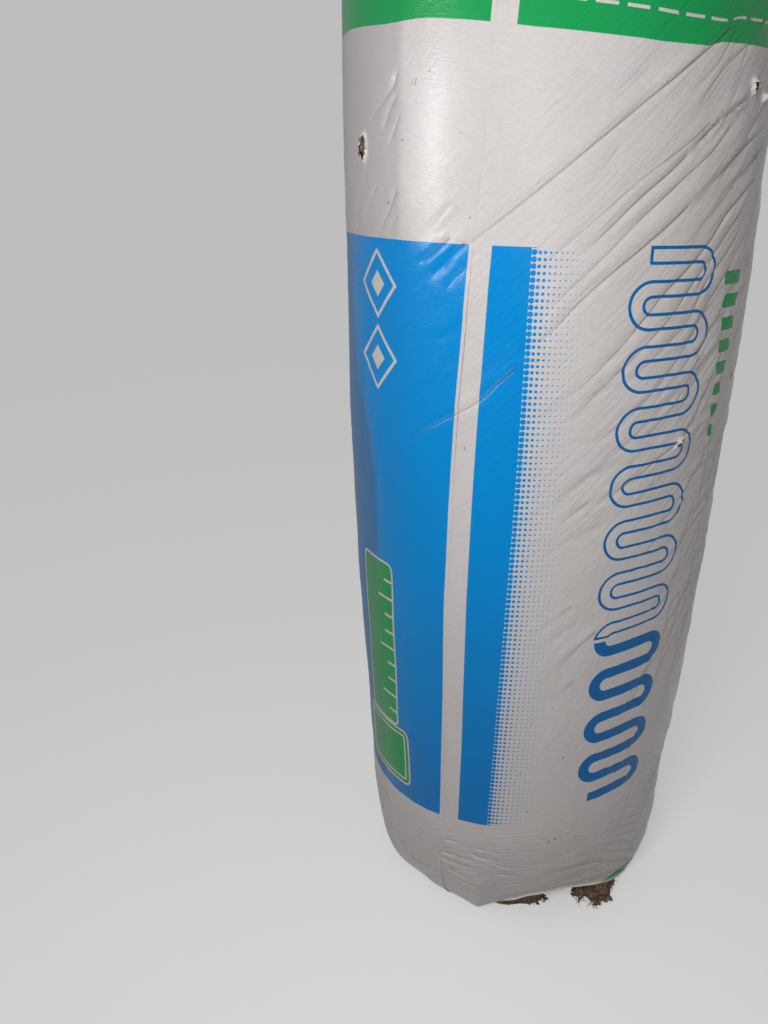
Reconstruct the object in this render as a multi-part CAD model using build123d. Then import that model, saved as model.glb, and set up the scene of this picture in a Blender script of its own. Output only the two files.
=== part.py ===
from build123d import *
from math import cos, degrees, pi, sin
import os

# Insulation roll: a mat of glass wool wound up tight and wrapped in one sheet of printed plastic film.
# It stands on its end. Z is the winding axis, and Z = 0 is the level that the foot stands on.
# Azimuth is measured about Z from the front, which is -Y, and grows towards +X.

# Wool mat
mat_length = 4000.0             # along the winding, from the eye to the tail
roll_length = 1200.0            # the mat's width, foot to top
eye_radius = 14.0               # the open eye that the first turn closes round

# Outline of the wound roll, which its film draws in at both ends
belly_radius = 200.0            # fullest part
belly_height = 650.0
waist_radius = 190.0            # where the side stops curving and runs straight down to the foot
waist_height = 250.0
foot_radius = 180.0             # side of the roll just above its foot
top_radius = 190.0              # side of the roll just below its top
foot_shoulder_width = 28.0      # rounded edge between side and foot, across the roll
foot_shoulder_height = 57.0     # and along it
top_shoulder_width = 38.0       # rounded edge between side and top
top_shoulder_height = 38.0
shoulder_flats = 3              # a rounded edge of the soft roll is drawn with this many flats

# Where the wool swells out of the film's end openings
foot_opening_radius = 98.0
top_opening_radius = 92.0
foot_swell = 3.0                # flattened by the roll's own weight
top_swell = 12.0
foot_swell_slope = 2.0
top_swell_slope = 10.0

# Gap between one turn and the next, as it shows on the ends
gap_width = 5.0
gap_depth = 7.0

# Film
film_thickness = 0.8
film_clearance = 0.3            # between film and wool
lap_width = 75.0                # where the sheet's two long edges overlap
lap_azimuth = -48.0             # the overlap's left edge, in degrees

turn_pitch = pi * (belly_radius**2 - eye_radius**2) / mat_length


def shoulder(side_radius, end_level, width, height, grow):
    """Points of a rounded edge, from the roll's side to its flat end. A foot's height is negative."""
    reach_across = width + grow
    reach_along = height + grow if height > 0 else height - grow
    angles = [pi / 2 * n / shoulder_flats for n in range(shoulder_flats + 1)]
    centre_radius, centre_level = side_radius - width, end_level - height
    return [(centre_radius + reach_across * cos(a), centre_level + reach_along * sin(a)) for a in angles]


def outline(grow):
    """Half of the roll's section in the XZ plane, larger than the wool by grow on every side."""
    foot = shoulder(foot_radius, foot_swell, foot_shoulder_width, -foot_shoulder_height, grow)
    top = shoulder(top_radius, roll_length - top_swell, top_shoulder_width, top_shoulder_height, grow)
    waist = (waist_radius + grow, waist_height)
    belly = (belly_radius + grow, belly_height)
    low, high = foot[-1][1], top[-1][1]
    edge = Polyline((0, low), *reversed(foot), waist)
    edge += TangentArc(belly, waist, tangent=(0, -1))
    edge += TangentArc(belly, top[0], tangent=(0, 1))
    edge += Polyline(*top, (0, high), (0, low))
    return Plane.XZ * make_face(edge)


def body(grow):
    """The roll's outline turned about its axis, without its swollen ends."""
    return revolve(outline(grow), Axis.Z)


def swell(opening_radius, height, slope):
    """Round cushion of wool that fills a film opening, with its base on the XY plane."""
    radius = opening_radius - film_clearance
    cushion = Cylinder(radius, height, align=(Align.CENTER, Align.CENTER, Align.MIN))
    return chamfer(cushion.edges().sort_by(Axis.Z)[-1], slope)


def turn_band(outer_radius):
    """Flat spiral band as wide as the gap between turns, from the eye to about outer_radius.

    Each half turn is an arc about one of two centres, half a turn pitch apart.
    """
    quarter = turn_pitch / 4
    inner, outer = Curve(), Curve()
    for n in range(int((outer_radius - eye_radius) / (2 * quarter))):
        centre_x = -quarter if n % 2 == 0 else quarter
        start = 180 * (n % 2)
        radius = eye_radius + (2 * n + 1) * quarter
        inner += CenterArc((centre_x, 0), radius - gap_width / 2, start, 180)
        outer += CenterArc((centre_x, 0), radius + gap_width / 2, start, 180)
    caps = Line(inner @ 0, outer @ 0) + Line(inner @ 1, outer @ 1)
    return make_face(inner + outer + caps)


def wound_mat():
    """The rolled glass wool: one solid, with its eye right through and its turns showing on both ends."""
    middle = Pos(0, 0, belly_height)
    roll = body(0)
    roll += middle * swell(top_opening_radius, roll_length - belly_height, top_swell_slope)
    roll += middle * mirror(swell(foot_opening_radius, belly_height, foot_swell_slope), Plane.XY)
    gap = turn_band(min(foot_radius - foot_shoulder_width, top_radius - top_shoulder_width))
    roll -= extrude(gap, foot_swell + gap_depth)
    roll -= Pos(0, 0, roll_length) * extrude(gap, -(top_swell + gap_depth))
    return roll - Cylinder(eye_radius, 3 * roll_length)


def film_wrap():
    """The film: a thin sleeve turned in over both ends, with its long edges lapped."""
    outside = film_clearance + film_thickness
    lap_section = outline(outside + film_thickness) - outline(outside)
    lap_angle = degrees(lap_width / belly_radius)
    lap = Rot(0, 0, lap_azimuth - 90) * revolve(lap_section, Axis.Z, lap_angle)
    sleeve = body(outside) - body(film_clearance) + lap
    sleeve -= Cylinder(foot_opening_radius, belly_height)
    return sleeve - Pos(0, 0, roll_length) * Cylinder(top_opening_radius, belly_height)


os.makedirs("parts", exist_ok=True)
export_step(wound_mat(), "parts/wool_roll.step")
export_step(film_wrap(), "parts/film_wrap.step")
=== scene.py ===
# %% [markdown]
# A roll of glass wool insulation, wrapped in printed plastic film.
#
# The real object is two things. One is a mat of brown glass wool, wound up tight into a roll that is 1.2 m
# tall. The other is a sheet of thin film, wrapped once round the roll, lapped, and turned in over both ends.
# This lesson winds the mat, tears a few tufts out of it, wraps the film round it and gives both their finish.
# Every size is in metres, and the frame below says where the roll is.

# %% Load the frame
import math
import random

import bpy
import numpy as np
from mathutils import Matrix, Vector, noise


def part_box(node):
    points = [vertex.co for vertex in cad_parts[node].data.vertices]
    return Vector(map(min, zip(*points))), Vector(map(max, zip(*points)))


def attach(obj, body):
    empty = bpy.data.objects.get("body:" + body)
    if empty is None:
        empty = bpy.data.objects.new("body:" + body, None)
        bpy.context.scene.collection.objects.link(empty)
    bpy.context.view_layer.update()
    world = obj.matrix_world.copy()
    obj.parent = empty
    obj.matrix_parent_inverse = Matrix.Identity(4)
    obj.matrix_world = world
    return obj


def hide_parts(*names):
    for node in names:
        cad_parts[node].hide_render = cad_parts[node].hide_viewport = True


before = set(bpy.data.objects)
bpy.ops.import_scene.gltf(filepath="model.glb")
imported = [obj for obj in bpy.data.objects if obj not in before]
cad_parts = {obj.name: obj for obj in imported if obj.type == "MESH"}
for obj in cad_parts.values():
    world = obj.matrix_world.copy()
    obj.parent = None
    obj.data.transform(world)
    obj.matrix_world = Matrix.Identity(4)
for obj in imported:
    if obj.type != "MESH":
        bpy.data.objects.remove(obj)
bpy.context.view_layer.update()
bpy.ops.object.select_all(action="DESELECT")
wool_low, wool_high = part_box("wool_roll")
ROLL_HEIGHT = wool_high.z
ROLL_RADIUS = (wool_high.x - wool_low.x) / 2
print(f"the roll is {ROLL_HEIGHT:.3f} m tall and {2 * ROLL_RADIUS:.3f} m across")

# %% [markdown]
# The camera comes first, because the folds of the film are placed by where the photograph shows them. It
# stands in front of the roll at chest height and looks down, so the top end is out of the picture. A lens is
# given in millimetres for a 36 mm sensor: a focal length in pixels is turned into that with one division.

# %% Camera
PICTURE_WIDTH, PICTURE_HEIGHT = 768, 1024
FOCAL_PIXELS = 800.5
SENSOR = 36.0
CAMERA_PLACE = Vector((-0.1655, -0.8647, 0.8244))
LOOKS_DOWN = math.radians(22.265)
ROLLED = math.radians(-0.875)

bpy.ops.object.camera_add(location=CAMERA_PLACE)
camera = bpy.context.object
camera.name = "camera"
turn = Matrix.Rotation(math.pi / 2 - LOOKS_DOWN, 4, "X") @ Matrix.Rotation(ROLLED, 4, "Z")
camera.matrix_world = Matrix.Translation(CAMERA_PLACE) @ turn
camera.data.sensor_width = SENSOR
camera.data.lens = FOCAL_PIXELS / PICTURE_HEIGHT * SENSOR
bpy.context.scene.camera = camera
print(f"lens {camera.data.lens:.2f} mm, {CAMERA_PLACE.z:.2f} m above the floor")

# %% [markdown]
# The roll isn't a plain cylinder. Its film draws it in at both ends, and its foot is narrower than its belly.
# One function gives the film's radius for any direction and height, and both the wool and the film use it,
# so they can't cut through each other. A direction is an azimuth in degrees: 0 faces the front, and it grows
# towards the right.

# %% Outline of the roll
SIDE_HEIGHTS = (0.0, 0.06, 0.16, 0.25, 0.45, 0.65, 0.90, 1.05, 1.20)
SIDE_RADII = (0.178, 0.180, 0.184, 0.189, 0.197, 0.200, 0.198, 0.1945, 0.189)
FOOT_TOP = 0.16                 # above this the side is drawn by the table, below it the foot curves in
SHOULDER_LEVEL = 1.150          # where the side turns over into the top
FILM_TOP = 1.1888               # level of the film on the top end
SHOULDER_INNER = 0.152          # radius where the top's rounded edge ends

# Where the film's lower rim stands: azimuth, radius and height above the floor. Only the front is lifted.
RIM_AZIMUTHS = (-180, -100, -63, -54, -40, -30, -22, -16, -6, 0, 8, 17, 25, 36, 45, 51, 58, 66, 80, 110, 180)
RIM_RADII = (0.152, 0.155, 0.152, 0.142, 0.1385, 0.1385, 0.1445, 0.141, 0.144, 0.146, 0.146, 0.145, 0.147,
             0.155, 0.159, 0.159, 0.160, 0.161, 0.160, 0.154, 0.152)
RIM_LEVELS = (0, 0, 0, 0, 0, 0, 0, 0.006, 0.018, 0.027, 0.030, 0.030, 0.027, 0.023, 0.016, 0.010, 0.005,
              0.001, 0, 0, 0)
FLOOR_GAP = 0.0012              # the film's underside rides this far above the floor
RIM_LIFTED = 0.014              # a rim this high above that is wholly lifted
LIFTED_CURVE = 1.7              # how straight the film falls to a lifted rim: 1 is straight, 2 is round


def wrapped(azimuth):
    """The same direction, from -180 to 180 degrees."""
    return (np.asarray(azimuth, float) + 180) % 360 - 180


def smooth_table(x, xs, ys):
    """A table read with eased steps, so that a curve through it has no corners."""
    x = np.asarray(x, float)
    slopes = np.gradient(ys, xs)
    spot = np.clip(np.searchsorted(xs, x) - 1, 0, len(xs) - 2)
    xs, ys = np.asarray(xs, float), np.asarray(ys, float)
    width = xs[spot + 1] - xs[spot]
    t = np.clip((x - xs[spot]) / width, 0, 1)
    rise = ys[spot + 1] - ys[spot]
    start, end = slopes[spot] * width, slopes[spot + 1] * width
    return ys[spot] + t * start + t**2 * (3 * rise - 2 * start - end) + t**3 * (start + end - 2 * rise)


def rim_radius(azimuth):
    return smooth_table(wrapped(azimuth), RIM_AZIMUTHS, RIM_RADII)


def rim_level(azimuth):
    return np.maximum(smooth_table(wrapped(azimuth), RIM_AZIMUTHS, RIM_LEVELS), 0) + FLOOR_GAP


def film_radius(azimuth, height):
    """Radius of the smooth film at a height. Below its rim it stays what it is at the rim.

    The foot is rounded, but where the rim is lifted off the floor the film falls straighter to it.
    """
    side = smooth_table(height, SIDE_HEIGHTS, SIDE_RADII)
    rim, level = rim_radius(azimuth), rim_level(azimuth)
    share = np.clip((height - level) / (FOOT_TOP - level), 0, 1)
    rounded, straight = np.sqrt(1 - (1 - share) ** 2), 1 - (1 - share) ** LIFTED_CURVE
    curve = rounded + (straight - rounded) * np.clip((level - FLOOR_GAP) / RIM_LIFTED, 0, 1)
    edge_radius = smooth_table(SHOULDER_LEVEL, SIDE_HEIGHTS, SIDE_RADII)
    over = np.clip((height - SHOULDER_LEVEL) / (FILM_TOP - SHOULDER_LEVEL), 0, 1)
    shoulder = SHOULDER_INNER + (edge_radius - SHOULDER_INNER) * np.sqrt(1 - over**2)
    low = rim + (smooth_table(FOOT_TOP, SIDE_HEIGHTS, SIDE_RADII) - rim) * curve
    return np.where(height < FOOT_TOP, low, np.where(height > SHOULDER_LEVEL, shoulder, side))


def on_roll(azimuth, radius, height):
    """Points in space from directions in degrees, radii and heights."""
    angle = np.radians(azimuth)
    return np.stack([radius * np.sin(angle), -radius * np.cos(angle), height + 0 * angle], axis=-1)


print("film radius at the foot, waist and belly:",
      [round(float(film_radius(-90, h)), 4) for h in (0.01, 0.25, 0.65)])


# %% Find a place on the roll by its pixel in the photograph
def seen_at(pixel):
    """(azimuth in degrees, height) of the film that the camera sees at a pixel."""
    right, down = pixel[0] - PICTURE_WIDTH / 2, pixel[1] - PICTURE_HEIGHT / 2
    ray = turn.to_3x3() @ Vector((right / FOCAL_PIXELS, -down / FOCAL_PIXELS, -1))
    distance = np.arange(0.4, 1.7, 0.0005)
    x, y, z = (CAMERA_PLACE[n] + distance * ray[n] for n in range(3))
    azimuth = np.degrees(np.arctan2(x, -y))
    gap = np.hypot(x, y) - film_radius(azimuth, np.clip(z, 0, ROLL_HEIGHT))
    nearest = int(np.argmax(gap < 0)) if (gap < 0).any() else int(np.argmin(gap))
    return float(azimuth[nearest]), float(z[nearest])


print("the middle of the picture is at", seen_at((384, 512)))


# %% [markdown]
# Sheets and soft things are made from points that numpy works out, because a turn or a fold is easiest to
# describe as a formula. One helper turns a grid of points into a mesh. Others keep a number or a pair of map
# places for each point, which a material can read later, or give soft random values.

# %% Helpers for points
def mesh_from_rings(name, points):
    """A smooth tube with one face between each four neighbours. Each row of points is a closed ring."""
    rows, columns = points.shape[:2]
    row, column = np.meshgrid(np.arange(rows - 1), np.arange(columns), indexing="ij")
    row, column = row.ravel(), column.ravel()
    below, beside = row + 1, (column + 1) % columns
    faces = np.stack([row * columns + column, row * columns + beside,
                      below * columns + beside, below * columns + column], axis=-1)
    mesh = bpy.data.meshes.new(name)
    mesh.from_pydata(points.reshape(-1, 3).tolist(), [], faces.tolist())
    mesh.polygons.foreach_set("use_smooth", np.ones(len(mesh.polygons), bool))
    thing = bpy.data.objects.new(name, mesh)
    bpy.context.scene.collection.objects.link(thing)
    return thing


def keep_numbers(thing, name, values):
    """Stores one number for each point of a mesh, under a name that an Attribute node can read."""
    attribute = thing.data.attributes.new(name, "FLOAT", "POINT")
    attribute.data.foreach_set("value", np.asarray(values, np.float32).ravel())


def keep_places(thing, name, across, along):
    """Stores a UV map made from two numbers for each point of a mesh."""
    corners = np.zeros(len(thing.data.loops), int)
    thing.data.loops.foreach_get("vertex_index", corners)
    flat = np.stack([np.ravel(across)[corners], np.ravel(along)[corners]], axis=-1)
    thing.data.uv_layers.new(name=name).data.foreach_set("uv", flat.astype(np.float32).ravel())


def drift(points, size, seed=0.0, octaves=3):
    """Soft random values, about -1 to 1, for rows of points. size is the distance between two bumps."""
    shift = Vector((seed, seed * 1.7, seed * 0.6))
    return np.array([noise.fractal(Vector(p) / size + shift, 1.0, 2.0, octaves) for p in points])


# %% [markdown]
# The wool mat is a strip 4 m long, wound up from a small open eye. A spiral strip can be made with a spin or
# with a screw modifier, but then every turn is as round and as even as the next. Here each point of the strip
# is placed by its distance along the mat, so the edge of every turn can be crowned and ragged, the gap
# between turns stays open, and the last turn thins out against the round outside.

# %% Sizes of the mat
EYE_RADIUS = 0.014
MAT_LENGTH = 4.0
TURN_GAP = 0.0035               # between one turn and the next, at the ends
WOOL_INSET = 0.0045             # wool lies this far inside the film
WOOL_RADIUS = ROLL_RADIUS - WOOL_INSET
TURN_PITCH = math.pi * (ROLL_RADIUS**2 - EYE_RADIUS**2) / MAT_LENGTH
STEP = 0.006                    # length of mat between two sections
EDGE_POINTS = 15                # across the mat's edge
TOP_OPENING = 0.092
TOP_SWELL = 0.0115
TOP_SLOPE = 0.022               # the swelling rises over this much radius
TOP_INSET = 0.003               # between the film on the top end and the wool under it
EDGE_FALL = 0.036               # the top end falls by this much towards its rounded edge, which is
EDGE_START, EDGE_WIDTH = 0.150, 0.043       # this far out and this wide
EDGE_CROWN = 0.007              # the middle of a turn's edge stands out this far
SQUEEZED_ABOVE = 1.14           # the film narrows the roll above this height


def wool_top(radius):
    """Height of the wool's top end at a radius: under the film, and swollen where the film is open."""
    under = FILM_TOP - TOP_INSET - EDGE_FALL * np.clip((radius - EDGE_START) / EDGE_WIDTH, 0, 1) ** 2
    open_share = np.clip((TOP_OPENING - radius) / TOP_SLOPE, 0, 1)
    return under + TOP_SWELL * open_share**2 * (3 - 2 * open_share)


# How far the wool's outside stands back at the floor. It does so most where the film's rim is lifted.
WALL_AZIMUTHS = (-30, -22, -16, -12, -7, -2, 3, 8, 11, 14, 20, 26, 30, 34, 40, 46, 51, 56, 64)
WALL_INSETS = (0, 0, 0, -0.001, 0.001, 0.005, 0.005, 0.008, 0.012, 0.021, 0.027, 0.025, 0.015, 0.007,
               0.003, 0.003, 0.006, 0.003, 0)
HOLLOW_TOP, HOLLOW_SLOPE = 0.060, 0.03      # that starts at this height and is full this much lower


def foot_hollow(azimuth, height):
    """How far the wool stands back under the lifted rim of the film."""
    back = smooth_table(wrapped(azimuth), WALL_AZIMUTHS, WALL_INSETS)
    return back * np.clip((HOLLOW_TOP - height) / HOLLOW_SLOPE, 0, 1)


# %% Wind the mat
NOSE_ANGLE = 1.2                # the mat's first end thickens over this angle, in radians
TOP_RAGGED, TOP_LUMPS = 0.0016, 0.0018      # how uneven its top edge is, close to and over a turn
FOOT_RAGGED = 0.0006
SIDE_RAGGED, RAGGED_TOP, RAGGED_SLOPE = 0.0028, 0.08, 0.02      # its outside is torn below this height

angles = [0.0]
for _ in range(round(MAT_LENGTH / STEP)):
    radius_here = EYE_RADIUS + TURN_PITCH * (angles[-1] / (2 * math.pi) + 0.5)
    angles.append(angles[-1] + STEP / radius_here)
angles = np.array(angles)
inner_face = EYE_RADIUS + TURN_PITCH * angles / (2 * math.pi)
nose = np.clip(angles / NOSE_ANGLE, 0.08, 1)
outer_face = np.minimum(inner_face + (TURN_PITCH - TURN_GAP) * nose, WOOL_RADIUS)

across = np.linspace(0, 1, EDGE_POINTS)
side_levels = np.array([1.145, 1.12, 1.08, 0.9, 0.7, 0.5, 0.3, 0.15, 0.09, 0.06, 0.045, 0.036, 0.028,
                        0.020, 0.013, 0.006])
sections = []
for turned, near, far in zip(angles, inner_face, outer_face):
    azimuth = math.degrees(turned)
    along = turned * (near + far) / 2
    crown = EDGE_CROWN * np.abs(2 * across - 1) ** 3
    flat_radius = near + (far - near) * across
    squeeze = (film_radius(azimuth, SQUEEZED_ABOVE) - WOOL_INSET) / WOOL_RADIUS
    ragged = np.array([noise.fractal(Vector((along * 28, radius * 420, 3.0)), 0.9, 2.0, 3)
                       for radius in flat_radius])
    lump = noise.noise(Vector((along * 9, near * 30, 7.0)))
    top = wool_top(flat_radius * squeeze) - crown + TOP_RAGGED * ragged + TOP_LUMPS * lump
    bottom = FLOOR_GAP + 0.15 * crown + FOOT_RAGGED * np.abs(ragged)
    rough_side = np.array([noise.fractal(Vector((along * 60, level * 90, 9.0)), 0.8, 2.0, 4)
                           for level in side_levels])
    ring_radius = np.concatenate([flat_radius, np.full(len(side_levels), far), flat_radius[::-1],
                                  np.full(len(side_levels), near)])
    ring_height = np.concatenate([top, side_levels, bottom[::-1], side_levels[::-1]])
    share = np.clip(ring_radius / WOOL_RADIUS, 0, 1)
    inset = WOOL_INSET + foot_hollow(azimuth, ring_height)
    fitted = share * (film_radius(azimuth, np.minimum(ring_height, SQUEEZED_ABOVE)) - inset)
    outer = slice(EDGE_POINTS, EDGE_POINTS + len(side_levels))
    fitted[outer] += SIDE_RAGGED * rough_side * np.clip((RAGGED_TOP - side_levels) / RAGGED_SLOPE, 0, 1)
    sections.append(on_roll(np.full(len(share), azimuth), fitted, ring_height))
wool = mesh_from_rings("wool_mat", np.array(sections))
ring = len(sections[0])
keep_numbers(wool, "along", np.repeat(angles * (inner_face + outer_face) / 2, ring))
keep_numbers(wool, "across", np.array([np.linalg.norm(s[:, :2], axis=1) for s in sections]))
print(f"{angles[-1] / (2 * math.pi):.2f} turns of mat, {len(wool.data.polygons)} faces")

# %% Close the two cut ends of the mat
bpy.context.view_layer.objects.active = wool
wool.select_set(True)
bpy.ops.object.mode_set(mode="EDIT")
bpy.ops.mesh.select_all(action="DESELECT")
bpy.ops.mesh.select_mode(type="EDGE")
bpy.ops.mesh.select_non_manifold(extend=False)
bpy.ops.mesh.fill_holes(sides=0)
bpy.ops.mesh.select_all(action="SELECT")
bpy.ops.mesh.normals_make_consistent(inside=False)
bpy.ops.object.mode_set(mode="OBJECT")
bpy.ops.object.select_all(action="DESELECT")
print(len(wool.data.polygons), "faces after the ends are closed")

# %% [markdown]
# The film has four small tears, and wool fills them from behind. They are placed by their pixels as well,
# before the wool is finished, because each gets a few flakes just under the film.

# %% Where the film is torn
# Each tear: its pixel, its half width and half height in metres, its lean in degrees, how uneven its outline
# is and how far its torn lips stand out.
TEARS = (
    ((363.5, 147), 0.0058, 0.0096, 4, 0.5, 0.0014),
    ((754, 86), 0.0032, 0.0034, -25, 1.0, 0.0034),
    ((763, 97), 0.0012, 0.0014, -35, 1.0, 0.0040),
    ((680, 442), 0.0014, 0.0038, -48, 1.0, 0.0030),
)
torn_places = [seen_at(pixel) for pixel, *_ in TEARS]
print("tears at", [(round(azimuth), round(height, 2)) for azimuth, height in torn_places])

# %% [markdown]
# Torn glass wool ends in lumps, in flakes and in loose fibres. All three are the same spindle, pulled to a
# different length and thickness and bent by noise, so one function makes them from copies of a plain sphere
# with few faces. They are joined to the mat, because they are part of it.

# %% Lumps, flakes and fibres of torn wool
dice = random.Random(21)
noise.seed_set(34)              # noise_vector starts from the clock otherwise
FIBRE = 0.00022                 # radius of a loose fibre, thicker than real so that it shows


def spindle(name, sides, rings):
    """A sphere whose poles become the two ends of a lump, a flake or a fibre."""
    bpy.ops.mesh.primitive_uv_sphere_add(segments=sides, ring_count=rings, radius=1)
    pattern = bpy.context.object
    pattern.name = name
    pattern.select_set(False)
    return pattern


def grown(pattern, root, heading, long, wide, thick, curl=0.25, rough=0.5):
    """A bent and roughened copy of the pattern that starts at root and reaches along heading."""
    piece = pattern.copy()
    piece.data = pattern.data.copy()
    bpy.context.scene.collection.objects.link(piece)
    seed = Vector((dice.uniform(0, 90), dice.uniform(0, 90), dice.uniform(0, 90)))
    forward = Vector(heading).normalized()
    sideways = forward.cross(Vector((0, 0, 1))).normalized()
    downward = forward.cross(sideways)
    at_root = noise.noise_vector(seed)
    for point in piece.data.vertices:
        reach = (point.co.z + 1) / 2
        grain = Vector((point.co.x * 3, point.co.y * 3, reach * 5)) + seed
        ragged = 1 + rough * noise.fractal(grain, 0.8, 2.0, 3)
        bend = (noise.noise_vector(seed + Vector((reach * 1.7, 0, 0))) - at_root) * curl * long
        place = (Vector(root) + forward * reach * long + sideways * point.co.x * wide * ragged
                 + downward * point.co.y * thick * ragged + bend)
        # On the floor it stays a little thick: its lower points stop lower than its upper ones.
        place.z = max(place.z, FLOOR_GAP + 0.0010 - 0.0003 * point.co.y)
        point.co = place
    for face in piece.data.polygons:
        face.use_smooth = True
    return piece


def outwards_from(azimuth, spread, rise):
    """A direction away from the roll's axis, turned by up to spread degrees."""
    out = math.radians(azimuth + dice.gauss(0, spread))
    return math.sin(out), -math.cos(out), rise


# %% Grow the torn wool
# Each lump beside the lifted rim or under it: azimuth, radius and height of its root, then its size.
TUFT_LUMPS = (
    (32, 0.124, 0.013, 0.026, 0.011, 0.008), (36, 0.130, 0.015, 0.032, 0.013, 0.009),
    (40, 0.134, 0.016, 0.033, 0.013, 0.009), (44, 0.136, 0.013, 0.028, 0.012, 0.007),
    (48, 0.136, 0.010, 0.016, 0.008, 0.006), (51, 0.136, 0.009, 0.012, 0.006, 0.005),
    (32, 0.146, 0.006, 0.020, 0.0034, 0.0032), (36, 0.150, 0.005, 0.019, 0.0036, 0.0030),
    (40, 0.152, 0.006, 0.021, 0.0042, 0.0034),
    (-12, 0.118, 0.006, 0.020, 0.012, 0.005), (-7, 0.116, 0.006, 0.020, 0.012, 0.006),
    (-2, 0.114, 0.006, 0.020, 0.012, 0.006), (3, 0.113, 0.006, 0.020, 0.012, 0.006),
    (8, 0.110, 0.006, 0.020, 0.011, 0.006), (12, 0.104, 0.006, 0.019, 0.010, 0.005),
)
# Where flakes and fibres stick out: azimuths, radius, height, reach, how many flakes and how many fibres.
TORN_PLACES = (
    (30, 48, 0.147, 0.011, 0.017, 54, 100),
    (30, 40, 0.160, 0.004, 0.010, 18, 30),
    (26, 33, 0.140, 0.006, 0.015, 16, 24),
    (-13, 11, 0.131, 0.008, 0.008, 70, 40),
    (13, 30, 0.118, 0.010, 0.008, 8, 30),
)
lump_pattern = spindle("lump", 14, 12)
flake_pattern = spindle("flake", 6, 8)
fibre_pattern = spindle("fibre", 3, 8)
torn = []
for (azimuth, level), (_, half_width, half_height, *_) in zip(torn_places, TEARS):
    for _ in range(round(half_height / 0.0003)):
        beside = azimuth + math.degrees(dice.uniform(-1, 1) * half_width / ROLL_RADIUS)
        low_end = level + dice.uniform(-1, 0.3) * half_height
        root = on_roll(beside, float(film_radius(beside, low_end)) - dice.uniform(0.0004, 0.0030), low_end)
        heading = (dice.gauss(0, 0.3), dice.gauss(0, 0.3), 1)
        torn.append(grown(flake_pattern, root, heading, 0.75 * half_height, 0.0016, 0.0010))
for azimuth, radius, level, *size in TUFT_LUMPS:
    torn.append(grown(lump_pattern, on_roll(azimuth, radius, level), outwards_from(azimuth, 6, -0.25), *size,
                      rough=0.8))
for first, last, radius, level, long, flake_count, fibre_count in TORN_PLACES:
    for number in range(flake_count + fibre_count):
        azimuth = dice.uniform(first, last)
        root = on_roll(azimuth, radius + dice.uniform(-0.008, 0.004), level * dice.uniform(0.1, 1.9))
        heading = outwards_from(azimuth, 42, dice.uniform(-0.9, 0.15))
        if number < flake_count:
            torn.append(grown(flake_pattern, root, heading, long * dice.uniform(0.4, 0.9),
                              dice.uniform(0.0010, 0.0026), dice.uniform(0.0005, 0.0012), curl=0.5))
        else:
            torn.append(grown(fibre_pattern, root, heading, long * dice.uniform(0.5, 1.3), FIBRE, FIBRE,
                              curl=0.6, rough=0.0))
for _ in range(150):
    azimuth, radius = dice.uniform(-180, 180), TOP_OPENING * dice.uniform(0.16, 0.95)
    root = on_roll(azimuth, radius, float(wool_top(radius)) - 0.003)
    heading = (dice.gauss(0, 1), dice.gauss(0, 1), dice.uniform(0.0, 0.5))
    torn.append(grown(fibre_pattern, root, heading, dice.uniform(0.008, 0.022), FIBRE, FIBRE,
                      curl=0.9, rough=0.0))
print(len(torn), "pieces of torn wool")

# %% Join the torn wool to the mat
for pattern in (lump_pattern, flake_pattern, fibre_pattern):
    bpy.data.objects.remove(pattern)
for piece in torn:
    piece.select_set(True)
wool.select_set(True)
bpy.context.view_layer.objects.active = wool
bpy.ops.object.join()
bpy.ops.object.select_all(action="DESELECT")
print(len(wool.data.polygons), "faces with the torn wool")

# %% [markdown]
# The film is one rectangle of thin plastic, so it is made flat first, at its cut size, and then wrapped by a
# formula. Across, a point keeps its distance round the roll, and up, its distance along the film. Its left
# cut edge starts under the lap, the sheet runs round the back, and it comes over its own start again.

# %% Size of the flat sheet
HIDDEN_EDGE = -48.0             # azimuth of the sheet's start, under the lap
STRIPE_HEIGHTS = (0.0, 0.160, 0.629, 0.777, 0.934, 1.20)
LAP_EDGE_AZIMUTHS = (-38.0, -35.6, -30.4, -27.6, -24.3, -20.5)     # left side of the white stripe
PRINT_START_AZIMUTHS = (-31.0, -28.5, -24.2, -22.0, -18.4, -14.6)  # right side of it
BARE_MARGIN = 0.0035            # unprinted film between the blue and the lap's cut edge
TURNED_IN = 0.052               # film under the foot
TURNED_UP_TO = 0.004            # a rim that is lifted by this much is no longer turned in
TOP_REACH = SHOULDER_INNER - TOP_OPENING

shoulder_radius = float(smooth_table(SHOULDER_LEVEL, SIDE_HEIGHTS, SIDE_RADII))
quarter = np.linspace(0, math.pi / 2, 60)
shoulder_line = np.stack([SHOULDER_INNER + (shoulder_radius - SHOULDER_INNER) * np.cos(quarter),
                          SHOULDER_LEVEL + (FILM_TOP - SHOULDER_LEVEL) * np.sin(quarter)])
shoulder_gone = np.concatenate([[0], np.cumsum(np.hypot(*np.diff(shoulder_line)))])
MARGIN_DEGREES = math.degrees(BARE_MARGIN / ROLL_RADIUS)
sheet_left = math.radians(HIDDEN_EDGE) * ROLL_RADIUS
sheet_right = math.radians(360 + LAP_EDGE_AZIMUTHS[2] + MARGIN_DEGREES) * ROLL_RADIUS
sheet_bottom = -TURNED_IN
sheet_top = SHOULDER_LEVEL + shoulder_gone[-1] + TOP_REACH
film_width, film_length = sheet_right - sheet_left, sheet_top - sheet_bottom
print(f"the sheet is {film_width:.3f} m by {film_length:.3f} m before it is wrapped")

# %% Wrap: from the flat sheet to the roll
PATH_SAMPLES, INWARD_SAMPLES = 300, 40
FOOT_SAMPLES = 90
OPENING_WAVE = 0.005            # how uneven the opening on the top end is
LEANING_PART = 22               # degrees of the sheet's last part that lean with its cut edge


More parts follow.
